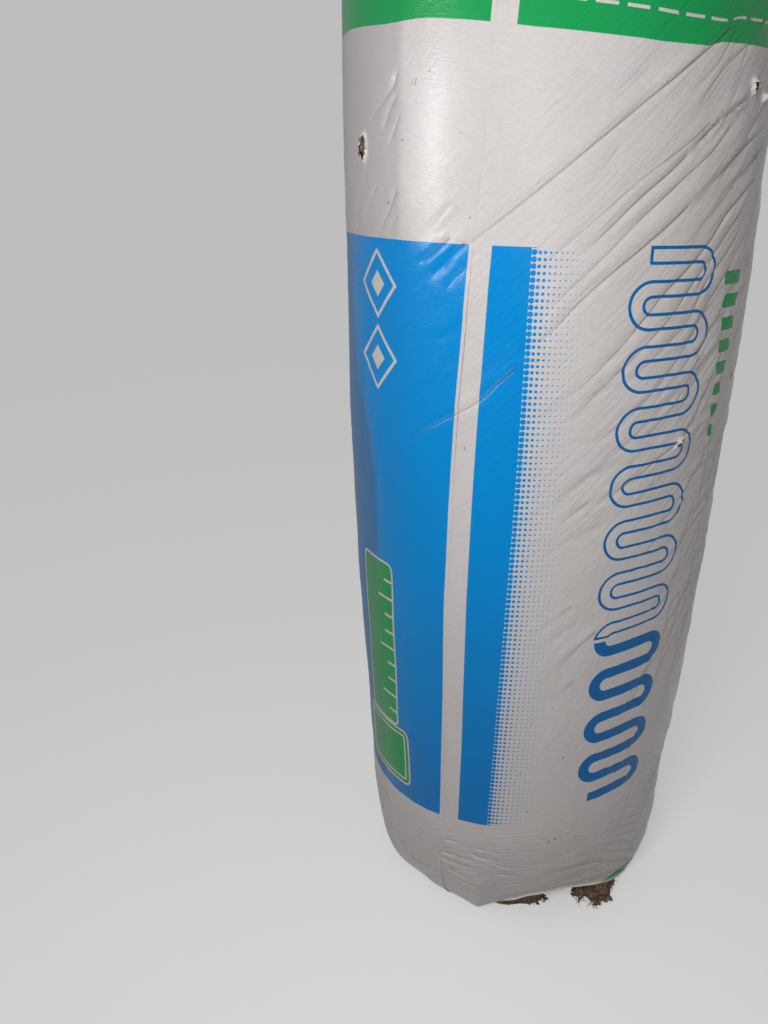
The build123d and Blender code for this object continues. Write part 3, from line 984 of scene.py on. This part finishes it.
left_side = wrapped(directions)
waver = drift(round_places * np.array([1, 1, 0.6]), 0.03, seed=8.8, octaves=3)
fade_back = np.clip((left_side + 118) / 20, 0, 1)
into_dull_sheen = smooth_table(heights, DULL_SHEEN_LEVELS, DULL_SHEEN_AZIMUTHS) + 0.5 * waver - left_side
blur = smooth_table(heights, DULL_SHEEN_LEVELS, DULL_SHEEN_BLUR)
keep_numbers(film, "dull", np.clip(into_dull_sheen / blur, 0, 1) * fade_back)
into_single = np.clip((SINGLE_AZIMUTH + 0.7 * waver - left_side) / 1.6, 0, 1)
keep_numbers(film, "single", into_single * (heights > SINGLE_ABOVE) * fade_back)
keep_numbers(film, "from_tear", np.clip(from_tear, 0, FAR_AWAY))
keep_numbers(film, "from_rim", from_rim + (1 - lifted) * FAR_AWAY)
keep_numbers(film, "fold_distance", fold_distance)
keep_numbers(film, "fold_strength", fold_strength)
print(len(film.data.uv_layers), "map and", len(film.data.attributes), "attributes on the film")


# %% [markdown]
# Materials are written as sums. A small class holds a socket, and adding or comparing two of them adds the
# Math node that does it, so a pattern reads like a formula.

# %% Shader helpers
class Wire:
    """A socket of a node that can be used in a Python expression."""

    def __init__(self, board, socket):
        self.board, self.socket = board, socket

    def math(self, operation, *others, clamp=False):
        values = {n: value for n, value in enumerate((self, *others))}
        return self.board.add("ShaderNodeMath", {"operation": operation, "use_clamp": clamp}, values)

    def output(self, name):
        return Wire(self.board, self.socket.node.outputs[name])

    def __add__(self, other):
        return self.math("ADD", other)

    def __sub__(self, other):
        return self.math("SUBTRACT", other)

    def __rsub__(self, other):
        return (self * -1) + other

    def __mul__(self, other):
        return self.math("MULTIPLY", other)

    def __truediv__(self, other):
        return self.math("DIVIDE", other)

    def __gt__(self, other):
        return self.math("GREATER_THAN", other)

    def __lt__(self, other):
        return self.math("LESS_THAN", other)

    def __abs__(self):
        return self.math("ABSOLUTE")

    def at_least(self, other):
        return self.math("MAXIMUM", other)

    def at_most(self, other):
        return self.math("MINIMUM", other)

    def clamped(self):
        return self.math("ADD", 0.0, clamp=True)

    __radd__, __rmul__ = __add__, __mul__


class Board:
    """The node tree of one new material, with its Principled shader."""

    def __init__(self, name, **constants):
        self.material = bpy.data.materials.new(name)
        self.material.use_nodes = True
        self.nodes, self.links = self.material.node_tree.nodes, self.material.node_tree.links
        self.shader = self.nodes["Principled BSDF"]
        for socket, value in constants.items():
            self.shader.inputs[socket.replace("_", " ")].default_value = value

    def add(self, kind, settings=None, inputs=None, output=0):
        """Adds a node, sets it up, fills its sockets with values or wires and returns one output."""
        node = self.nodes.new(kind)
        for name, value in (settings or {}).items():
            if name == "stops":
                ramp = node.color_ramp
                while len(ramp.elements) < len(value):
                    ramp.elements.new(0.5)
                for element, (place, colour) in zip(ramp.elements, value):
                    element.position = place
                for element, (place, colour) in zip(ramp.elements, value):
                    element.color = colour
            else:
                setattr(node, name, value)
        for name, value in (inputs or {}).items():
            if isinstance(value, Wire):
                self.links.new(value.socket, node.inputs[name])
            else:
                node.inputs[name].default_value = value
        return Wire(self, node.outputs[output])

    def mix(self, factor, first, second):
        return self.add("ShaderNodeMix", {"data_type": "RGBA"}, {0: factor, 6: first, 7: second}, output=2)

    def number(self, name):
        return self.add("ShaderNodeAttribute", {"attribute_name": name}, output=2)

    def noise(self, place, size, detail=2.0, roughness=0.5):
        inputs = {"Vector": place, "Scale": 1 / size, "Detail": detail, "Roughness": roughness}
        return self.add("ShaderNodeTexNoise", None, inputs)

    def stretched(self, place, turn_degrees, along, across):
        """Coordinates turned in the plane, then squeezed so that a pattern runs along one direction."""
        turned = self.add("ShaderNodeMapping", {"vector_type": "POINT"},
                          {0: place, "Rotation": (0, 0, math.radians(turn_degrees))})
        return self.add("ShaderNodeMapping", {"vector_type": "POINT"},
                        {0: turned, "Scale": (1 / along, 1 / across, 1)})

    def feed(self, **sockets):
        for name, wire in sockets.items():
            self.links.new(wire.socket, self.shader.inputs[name.replace("_", " ")])

    def bump(self, height, distance, strength):
        inputs = {"Height": height, "Distance": distance, "Strength": strength}
        return self.add("ShaderNodeBump", None, inputs)


def paint(red, green, blue):
    """A colour as a picture editor shows it, 0 to 255, turned into the light values that nodes use."""
    parts = [c / 255 for c in (red, green, blue)]
    return tuple(((c + 0.055) / 1.055) ** 2.4 if c > 0.04045 else c / 12.92 for c in parts) + (1.0,)


# %% [markdown]
# The film is milky polythene with two printed colours. Its large blue panel fades out to both sides in a
# grid of dots that shrink, as such bags are printed. The rest of the print here is a plain set of marks: a
# winding ribbon, the usual sign for insulation on a drawing, a ruler, bars and lozenges.

# %% Film colours and the layout of its print
FILM_GREY = paint(211, 206, 205)
FILM_WARM = paint(203, 195, 190)
FILM_DULL = paint(190, 185, 185)
# the second blue is a painted shade for the panel's lower part
BLUE, BLUE_LOW_SHADE = paint(0, 138, 212), paint(0, 98, 172)
# greyed blue, its streaks and greyed green for the film's left edge: a painted sheen
BLUE_PAINTED_SHEEN, BLUE_SHEEN_STREAK = paint(66, 108, 150), paint(132, 146, 164)
BLUE_LINE = paint(6, 104, 172)              # a thin line looks darker than the panel
GREEN, GREEN_PAINTED_SHEEN = paint(26, 154, 83), paint(92, 146, 114)
HALF_ROUND = math.pi * ROLL_RADIUS          # the print repeats on the far side
DOT_ACROSS, DOT_UP = 0.0044, 0.0053
PANEL_RIGHT = 63 * DOT_ACROSS               # the panel is as wide as a whole number of dots
PANEL_LEFT = math.radians(-12.8) * ROLL_RADIUS - PANEL_RIGHT
PANEL_BOTTOM, PANEL_TOP = 0.173, 0.775
BAND_TOP, BAND_BOTTOM = 0.926, 0.006
SOFT_EDGE = 0.0003


def place_of(azimuth):
    """Where a direction lies in the repeated print, in metres from the panel's left side."""
    return (math.radians(azimuth) * ROLL_RADIUS - PANEL_LEFT) % HALF_ROUND


def inside(distance):
    """1 where a distance in metres is above zero, 0 where it is below, with a hair of blur."""
    return (distance / SOFT_EDGE + 0.5).clamped()


def box_distance(x, y, half_width, half_height, corner=0.0):
    """How far inside a rounded box a point is, in metres."""
    dx = (abs(x) - (half_width - corner)).at_least(0.0)
    dy = (abs(y) - (half_height - corner)).at_least(0.0)
    return corner - (dx * dx + dy * dy).math("SQRT")


def every(value, pitch):
    """Distance from the middle of a repeated cell, from -pitch/2 to pitch/2."""
    return ((value / pitch).math("FRACT") - 0.5) * pitch


# %% Printed film
film_board = Board("printed_film", Specular_IOR_Level=0.15)
uv = film_board.add("ShaderNodeUVMap", {"uv_map": "print"})
u = film_board.add("ShaderNodeSeparateXYZ", None, {0: uv})
v = u.output(1)
printed_part = inside(film_board.number("inside_print"))
lane = ((u - PANEL_LEFT) / HALF_ROUND).math("FRACT") * HALF_ROUND
print("the print repeats every", round(HALF_ROUND, 3), "m")

# %% Blue panel with fading dots
# How far inside the panel a column of dots is, and the radius of its dots in millimetres.
DOT_STOPS = ((-0.0455, 0.0), (-0.0418, 0.3), (-0.0374, 0.4), (-0.0330, 0.5), (-0.0242, 0.65), (-0.0198, 0.8),
             (-0.0154, 1.0), (-0.0110, 1.35), (-0.0066, 1.55), (-0.0022, 2.35), (0.0022, 3.7))
cell_u, cell_v = every(lane, DOT_ACROSS), every(v, DOT_UP)
cell_middle = ((lane / DOT_ACROSS).math("FLOOR") + 0.5) * DOT_ACROSS
into_panel = cell_middle.at_most(PANEL_RIGHT - cell_middle)
FADE_FROM, FADE_TO, LARGEST_DOT = DOT_STOPS[0][0], DOT_STOPS[-1][0], DOT_STOPS[-1][1]
stops = [((x - FADE_FROM) / (FADE_TO - FADE_FROM), (r / LARGEST_DOT,) * 3 + (1.0,)) for x, r in DOT_STOPS]
fade = (into_panel - FADE_FROM) / (FADE_TO - FADE_FROM)
dot_size = film_board.add("ShaderNodeValToRGB", {"stops": stops}, {0: fade}) * (LARGEST_DOT / 1000)
from_dot = (cell_u * cell_u + cell_v * cell_v).math("SQRT")
panel = inside(dot_size - from_dot) * inside(v - PANEL_BOTTOM) * inside(PANEL_TOP - v)
print(len(film_board.nodes), "nodes with the panel")

# %% Winding ribbon
# Its rows run to and fro, joined by bends. It is filled below and drawn in outline above.
RIBBON_AT, RIBBON_REACH = place_of(23.5), 0.024
RIBBON_HALF, RIBBON_LINE = 0.0062, 0.0014
RIBBON_LOW, RIBBON_HIGH, RIBBON_ROWS = 0.194, 0.776, 22
ROW = (RIBBON_HIGH - RIBBON_LOW - 2 * RIBBON_HALF) / (RIBBON_ROWS - 1)
ROWS_START = RIBBON_LOW + RIBBON_HALF - ROW / 2
FILLED_TO = ROWS_START + 8 * ROW
BEND_OVERLAP = 0.004            # a bend starts this far before its row ends

ribbon_x = lane - RIBBON_AT
from_row = abs(every(v - ROWS_START + (ribbon_x < 0) * ROW, 2 * ROW))
past_end = (abs(ribbon_x) - RIBBON_REACH).at_least(0.0)
from_line = abs((past_end * past_end + from_row * from_row).math("SQRT") - ROW / 2)
above_first_row = v - (RIBBON_LOW + RIBBON_HALF + ROW / 2)
below_last_row = RIBBON_HIGH - RIBBON_HALF - ROW / 2 - v
in_middle_rows = above_first_row.at_most(below_last_row)
in_ribbon = (RIBBON_HALF - from_line).at_most(in_middle_rows.at_least(ribbon_x + RIBBON_REACH + BEND_OVERLAP))
in_ribbon = in_ribbon.at_most((v - RIBBON_LOW).at_most(RIBBON_HIGH - v))
in_filled = in_ribbon.at_most(FILLED_TO - v)
in_outlined = in_ribbon.at_most(v - FILLED_TO - 3.5 * RIBBON_LINE)
ribbon = (inside(in_filled) + inside(RIBBON_LINE - abs(in_outlined))).clamped() * (abs(ribbon_x) < 0.06)
print(RIBBON_ROWS, "rows,", round(ROW, 4), "m apart")

# %% Two lozenges left bare in the blue
LOZENGE_AT, LOZENGE_LEVELS = place_of(-57.5), (0.738, 0.675)
LOZENGE_HALF, LOZENGE_LINE, LOZENGE_CORE = 0.027, 0.0022, 0.011

rings_and_cores = []
for level in LOZENGE_LEVELS:
    from_middle = abs(lane - LOZENGE_AT) + abs(v - level)
    rings_and_cores.append(inside(LOZENGE_LINE - abs(from_middle - LOZENGE_HALF)))
    rings_and_cores.append(inside(LOZENGE_CORE - from_middle))
lozenges = sum(rings_and_cores)
print(len(LOZENGE_LEVELS), "lozenges,", 2 * LOZENGE_HALF, "m tall")

# %% Ruler with bare ticks, and a plain tile under it
RULER_AT, RULER_LEVEL, RULER_WIDE, RULER_HIGH, RULER_CORNER = place_of(-62.5), 0.371, 0.031, 0.099, 0.008
TILE_LEVEL, TILE_WIDE, TILE_HIGH, TILE_CORNER = 0.231, 0.047, 0.038, 0.009
EDGE_LINE, TILE_LINE, TILE_LINE_INSET = 0.0013, 0.0011, 0.007
TICK_STEP, TICK_LINE, TICK_INSET = 0.02, 0.0014, 0.006
TICK_SHORT, TICK_LONGER = 0.010, 0.012      # each third tick is longer by the second

ruler_x = lane - RULER_AT
ruler = box_distance(ruler_x, v - RULER_LEVEL, RULER_WIDE, RULER_HIGH, RULER_CORNER)
tile = box_distance(ruler_x, v - TILE_LEVEL, TILE_WIDE, TILE_HIGH, TILE_CORNER)
tick_reach = TICK_SHORT + TICK_LONGER * ((v / (3 * TICK_STEP)).math("FRACT") < 0.34)
on_tick = inside(TICK_LINE - abs(every(v, TICK_STEP)))
ticks = on_tick * inside(tick_reach - abs(RULER_WIDE - TICK_INSET - ruler_x)) * inside(ruler)
ruler_or_tile = ruler.at_least(tile)
green_plate = inside(ruler_or_tile)
tile_line = inside(TILE_LINE - abs(tile - TILE_LINE_INSET))
bare_lines = inside(EDGE_LINE - abs(ruler_or_tile)) + ticks + tile_line
print(len(film_board.nodes), "nodes with the ruler")

# %% Short green bars, each longer than the one below it
BARS_AT, BARS_LOW, BARS_HIGH, BAR_STEP = place_of(46), 0.59, 0.757, 0.021
BAR_WIDE, BAR_LONGER, BAR_HIGH, BAR_CORNER = 0.004, 0.0016, 0.0062, 0.003

bar_number = ((v - BARS_LOW) / BAR_STEP).math("FLOOR")
bar_y = every(v - BARS_LOW, BAR_STEP)
bar = box_distance(lane - BARS_AT, bar_y, BAR_WIDE + BAR_LONGER * bar_number, BAR_HIGH, BAR_CORNER)
bars = inside(bar) * (v > BARS_LOW) * (v < BARS_HIGH)
print(round((BARS_HIGH - BARS_LOW) / BAR_STEP), "bars")

# %% Green bands at both ends, with a dashed line and empty frames
DASH_LEVEL, DASH_LINE, DASH_STEP, DASH_SHARE = 0.9455, 0.0011, 0.024, 0.72
FRAME_LEVEL, FRAME_STEP, FRAME_HALF, FRAME_CORNER = 0.979, 0.038, 0.0145, 0.003
FRAME_LINE, FRAME_CORE = 0.0008, 0.0085

band_edge = (v - BAND_TOP).at_least(BAND_BOTTOM - v)
band = inside(band_edge)
dashes = inside(DASH_LINE - abs(v - DASH_LEVEL)) * ((lane / DASH_STEP).math("FRACT") < DASH_SHARE)
in_frame = box_distance(every(lane, FRAME_STEP), v - FRAME_LEVEL, FRAME_HALF, FRAME_HALF, FRAME_CORNER)
frames = inside(FRAME_LINE - abs(in_frame)) + inside(in_frame - FRAME_CORE)
band_marks = (dashes + frames) * ((lane > place_of(-14)) * (lane < place_of(62)))
print(len(film_board.nodes), "nodes with the bands")

# %% Which of the two colours covers what
blue_mask = ((panel - lozenges - bare_lines).clamped() * (1 - green_plate)).at_least(ribbon)
blue_mask = blue_mask * printed_part
green_mask = (green_plate * (1 - bare_lines)).clamped().at_least(bars).at_least(band - band_marks)
green_mask = green_mask.clamped() * printed_part
print(len(film_board.nodes), "nodes for the print")

# %% [markdown]
# Handling has left its marks on the film. It is a little cloudy, and small scuffs and specks lie all over it.
# Its creases are painted darker, a painted shade, and its crests and lifted rim paler, a painted highlight.
# On the single layer far left of the lap its colours are painted greyer in fine upright streaks, a painted
# sheen, and it is rougher there.

# %% Colours of the film and its print
film_place = film_board.add("ShaderNodeTexCoord", output=3)
dull, single = film_board.number("dull"), film_board.number("single")
cloud = film_board.noise(film_place, 0.11, detail=3.0)
mottle = film_board.noise(film_board.stretched(uv, 0, 0.012, 0.003), 1.0, detail=3.0, roughness=0.6)
upright = film_board.noise(film_board.stretched(uv, 0, 0.0030, 0.08), 1.0, detail=4.0, roughness=0.7)
weave = film_board.noise(film_board.stretched(uv, 0, 0.006, 0.0012), 1.0, detail=2.0, roughness=0.6)
warmth = ((cloud - 0.45) * 2.2).clamped()
film_colour = film_board.mix(warmth * 0.5, FILM_GREY, FILM_WARM)
film_colour = film_board.mix(single * 0.8, film_colour, FILM_DULL)
grime = ((mottle - 0.5) * 0.25 + (weave - 0.5) * 0.35 + 0.08).clamped()
film_colour = film_board.mix(grime, film_colour, paint(150, 143, 138))
streaked = ((upright - 0.42) * 4).clamped()
# The blue is mixed deeper in random clouds and towards the panel's bottom; the latter is painted shade.
blue = film_board.mix((cloud * 0.5 + v * 1.6).clamped(), BLUE_LOW_SHADE, BLUE)
blue = film_board.mix(ribbon, blue, BLUE_LINE)
# Near the left edge the print is painted greyer in upright streaks, a painted sheen.
blue = film_board.mix(dull * (0.55 + 0.4 * streaked), blue, BLUE_PAINTED_SHEEN)
blue = film_board.mix(dull * ((upright - 0.54) * 7).clamped() * 0.6, blue, BLUE_SHEEN_STREAK)
green = film_board.mix(dull * (0.4 + 0.6 * streaked), GREEN, GREEN_PAINTED_SHEEN)
colour = film_board.mix(blue_mask, film_colour, blue)
colour = film_board.mix(green_mask, colour, green)
print(len(film_board.nodes), "nodes with the colours")

# %% Nicks, specks and scuffs
# Each nick: its pixel, its half width and half length in metres and its lean in degrees.
NICKS = (((416, 84), 0.0005, 0.0026, -20), ((412, 86), 0.0003, 0.0018, -30), ((403, 140), 0.0009, 0.0012, 50),
         ((430, 73), 0.0005, 0.0010, 0), ((461, 133), 0.0003, 0.0012, -10))


def nick_at(pixel, half_width, half_length, lean):
    """1 inside one nick of the film, which leans in the print's map, and 0 outside."""
    azimuth, height = seen_at(pixel)
    tilt_here = float(smooth_table(height, LEVELS, LEVEL_TILT)) * math.sin(math.radians(azimuth))
    dx, dy = lane - place_of(azimuth), v - (height - tilt_here)
    cosine, sine = math.cos(math.radians(lean)), math.sin(math.radians(lean))
    return inside(box_distance(dx * cosine + dy * sine, dy * cosine - dx * sine, half_width, half_length,
                               half_width))


nicks = sum(nick_at(*nick) for nick in NICKS)
speck_cells = film_board.add("ShaderNodeTexVoronoi", {"feature": "F1"}, {"Vector": film_place, "Scale": 34.0})
speck = (speck_cells < 0.055) * (film_board.noise(film_place, 0.05) > 0.53)
scuff_noise = film_board.noise(film_board.stretched(uv, 55, 0.05, 0.004), 1.0, detail=4.0, roughness=0.7)
scuffs = ((scuff_noise - 0.66) * 6).clamped()
print(len(NICKS), "nicks")

# %% Painted shade in the creases, painted highlights on crests and the lifted rim, and pale torn lips
# A crest beside each crease is painted paler: a painted highlight.
CREST_OFFSET = 0.0026           # the pale crest runs this far above its crease
# How steeply each fades: 1 over the square of a distance in metres, at which 37 % is left.
CREASE_FALL, CREST_FALL, TEAR_FALL, RIM_FALL = 2.2e6, 3.0e5, 0.9e5, 1.2e5


def soft_line(distance, fall):
    """1 at a distance of 0, and softly less away from it."""
    return ((distance * distance) * -fall).math("EXPONENT")


crease_at = film_board.number("fold_distance")
crease_depth = ((film_board.number("fold_strength") - 0.3) * 1.2).clamped()
crease = soft_line(crease_at, CREASE_FALL) * crease_depth
crest = soft_line(crease_at - CREST_OFFSET, CREST_FALL) * crease_depth
torn_white = soft_line(film_board.number("from_tear"), TEAR_FALL)
# The lifted rim's edge is painted paler: a painted highlight.
rim_highlight = soft_line(film_board.number("from_rim"), RIM_FALL)
low_down, midway = ((0.19 - v) / 0.05).clamped(), ((0.56 - v) / 0.12).clamped()
# Specks, nicks and scuffs are real marks; the crease term paints shade into the creases.
marks_and_crease_shade = (speck * 0.6 + nicks * 0.6 + scuffs * 0.3 + crease * 0.4).clamped()
colour = film_board.mix(marks_and_crease_shade, colour, paint(92, 84, 80))
# Crests and the lifted rim are painted paler, a painted highlight; torn lips are really whitened.
painted_highlight_and_torn_white = (crest * (0.1 + 0.4 * low_down) + torn_white * 0.9 + rim_highlight * 0.7).clamped()
colour = film_board.mix(painted_highlight_and_torn_white, colour, paint(236, 230, 226))
print(len(film_board.nodes), "nodes with the wear")

# %% Gloss and fine wrinkles
roughness = 0.16 + 0.10 * mottle + 0.06 * cloud + 0.18 * dull
tension = film_board.noise(film_board.stretched(uv, -46, 0.060, 0.0042), 1.0, detail=3.0, roughness=0.6)
steep = film_board.noise(film_board.stretched(uv, -66, 0.060, 0.0042), 1.0, detail=3.0, roughness=0.6)
level_wrinkles = film_board.noise(film_board.stretched(uv, -4, 0.030, 0.0026), 1.0, detail=3.0, roughness=0.6)
calm_left = ((u - 0.90) / 0.05).clamped()
wrinkles = (tension * (1 - midway) + steep * (midway - low_down) * 0.6) * (1 - 0.85 * calm_left)
relief = (wrinkles * 1.3 + level_wrinkles * low_down * 3.2 + weave * 0.16 + mottle * 0.08
          + upright * 0.22 * dull - crease * 0.6 + crest * 0.3)
film_board.feed(Base_Color=colour, Roughness=roughness,
                Normal=film_board.bump(relief, distance=0.0015, strength=0.55))
film.data.materials.append(film_board.material)
print(len(film_board.nodes), "nodes in the film's material")

# %% [markdown]
# Glass wool is a mass of fine brown fibres that lie along the mat. Its cut edge shows them as streaks that
# follow each turn, so the streaks are stretched along the two numbers that were kept with the mat. Where the
# mat is torn, at its foot, it shows tangled tufts in place of streaks.

# %% Wool
wool_board = Board("glass_wool", Roughness=0.95, Specular_IOR_Level=0.15)
fibre_place = wool_board.add("ShaderNodeCombineXYZ", None,
                             {0: wool_board.number("along") * 40, 1: wool_board.number("across") * 900,
                              2: 0.0})
wool_place = wool_board.add("ShaderNodeTexCoord", output=3)
wool_height = wool_board.add("ShaderNodeSeparateXYZ", None, {0: wool_place}).output(2)
at_foot = ((0.10 - wool_height) / 0.03).clamped()
streaks = wool_board.noise(fibre_place, 1.0, detail=4.0, roughness=0.65)
fluff = wool_board.noise(wool_place, 0.006, detail=5.0, roughness=0.7)
tufts = wool_board.noise(wool_place, 0.0022, detail=5.0, roughness=0.75)
fibres = streaks * (1 - at_foot) + tufts * at_foot
shade = (fibres * 0.6 + fluff * 0.4 - 0.32) * 2.6
tones = [(0.0, paint(56, 42, 34)), (0.45, paint(124, 100, 84)), (1.0, paint(200, 176, 158))]
wool_colour = wool_board.add("ShaderNodeValToRGB", {"stops": tones}, {0: shade.clamped()})
wool_board.feed(Base_Color=wool_colour,
                Normal=wool_board.bump(fibres * 0.5 + fluff, distance=0.003, strength=0.9))
wool.data.materials.append(wool_board.material)
print(len(wool_board.nodes), "nodes in the wool's material")

# %% [markdown]
# The stage is a pale floor under soft light. A soft box beside the camera lights the chest of the roll more
# than its foot, as in the photograph. Three more lamps, two far to the left and one by the camera, draw only
# the streaks of light on the glossy film. The floor shows itself to the camera with a pale glow of its own,
# which lets it run into the background and still keep the roll's shadow.

# %% Stage
SKY_LIGHT, FLOOR_GLOW = 0.235, 0.37
FLOOR_COLOUR = paint(206, 205, 203)
SKY_SEEN = SKY_LIGHT * FLOOR_COLOUR[1] + FLOOR_GLOW         # as the floor looks far away

bpy.ops.mesh.primitive_plane_add(size=400)
floor = bpy.context.object
floor.name = "floor"
floor_board = Board("pale_floor", Base_Color=FLOOR_COLOUR, Roughness=0.95, Specular_IOR_Level=0.0,
                    Emission_Strength=1.0)
camera_ray = floor_board.add("ShaderNodeLightPath")
seen = camera_ray
for ray in ("Is Glossy Ray", "Is Transmission Ray"):
    seen = seen.at_least(camera_ray.output(ray))
glow = floor_board.mix(seen, (0, 0, 0, 1), (FLOOR_GLOW, FLOOR_GLOW, FLOOR_GLOW, 1))
floor_board.feed(Emission_Color=glow)
floor.data.materials.append(floor_board.material)
print("far away the floor looks", round(SKY_SEEN, 3), "bright")


# %% Lamps
def soft_box(name, place, aim_height, width, height, watts):
    """A rectangular lamp that points at the roll's axis."""
    bpy.ops.object.light_add(type="AREA", location=place)
    lamp = bpy.context.object
    lamp.name = name
    lamp.data.shape = "RECTANGLE"
    lamp.data.size, lamp.data.size_y = width, height
    lamp.data.energy = watts
    lamp.rotation_euler = (Vector((0, 0, aim_height)) - Vector(place)).to_track_quat("-Z", "Y").to_euler()
    return lamp


# The lamps that are seen in the film alone: name, place, width, height and watts.
GLOSS_LAMPS = (
    ("streak_light", (-1.26, -0.54, 0.957), 0.27, 0.27, 6.6),
    ("window_light", (-1.26, -0.54, 0.957), 0.80, 0.30, 5.6),
    ("flash_light", (-0.20, -0.95, 0.82), 0.12, 0.12, 0.6),
)
soft_box("key_light", (-0.36, -0.90, 0.96), 0.82, 0.32, 0.32, 5.9).visible_glossy = False
for name, place, *size_and_watts in GLOSS_LAMPS:
    soft_box(name, place, 0.85, *size_and_watts).visible_diffuse = False

# %% Sky
world = bpy.data.worlds.new("studio")
bpy.context.scene.world = world
world.use_nodes = True
sky = world.node_tree
light_path = sky.nodes.new("ShaderNodeLightPath")
shows = light_path.outputs["Is Camera Ray"]
for ray in ("Is Glossy Ray", "Is Transmission Ray"):
    either = sky.nodes.new("ShaderNodeMath")
    either.operation = "MAXIMUM"
    sky.links.new(shows, either.inputs[0])
    sky.links.new(light_path.outputs[ray], either.inputs[1])
    shows = either.outputs[0]
brightness = sky.nodes.new("ShaderNodeMapRange")
sky.links.new(shows, brightness.inputs["Value"])
brightness.inputs["To Min"].default_value = SKY_LIGHT
brightness.inputs["To Max"].default_value = SKY_SEEN
sky.links.new(brightness.outputs["Result"], sky.nodes["Background"].inputs["Strength"])
sky.nodes["Background"].inputs["Color"].default_value = (1, 1, 1, 1)
bpy.context.scene.view_settings.view_transform = "Standard"
print("the sky lights with", SKY_LIGHT, "and shows as", round(SKY_SEEN, 3))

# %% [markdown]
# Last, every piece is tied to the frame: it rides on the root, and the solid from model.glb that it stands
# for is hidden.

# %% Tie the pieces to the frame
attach(wool, "root")
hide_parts("wool_roll")
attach(film, "root")
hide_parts("film_wrap")
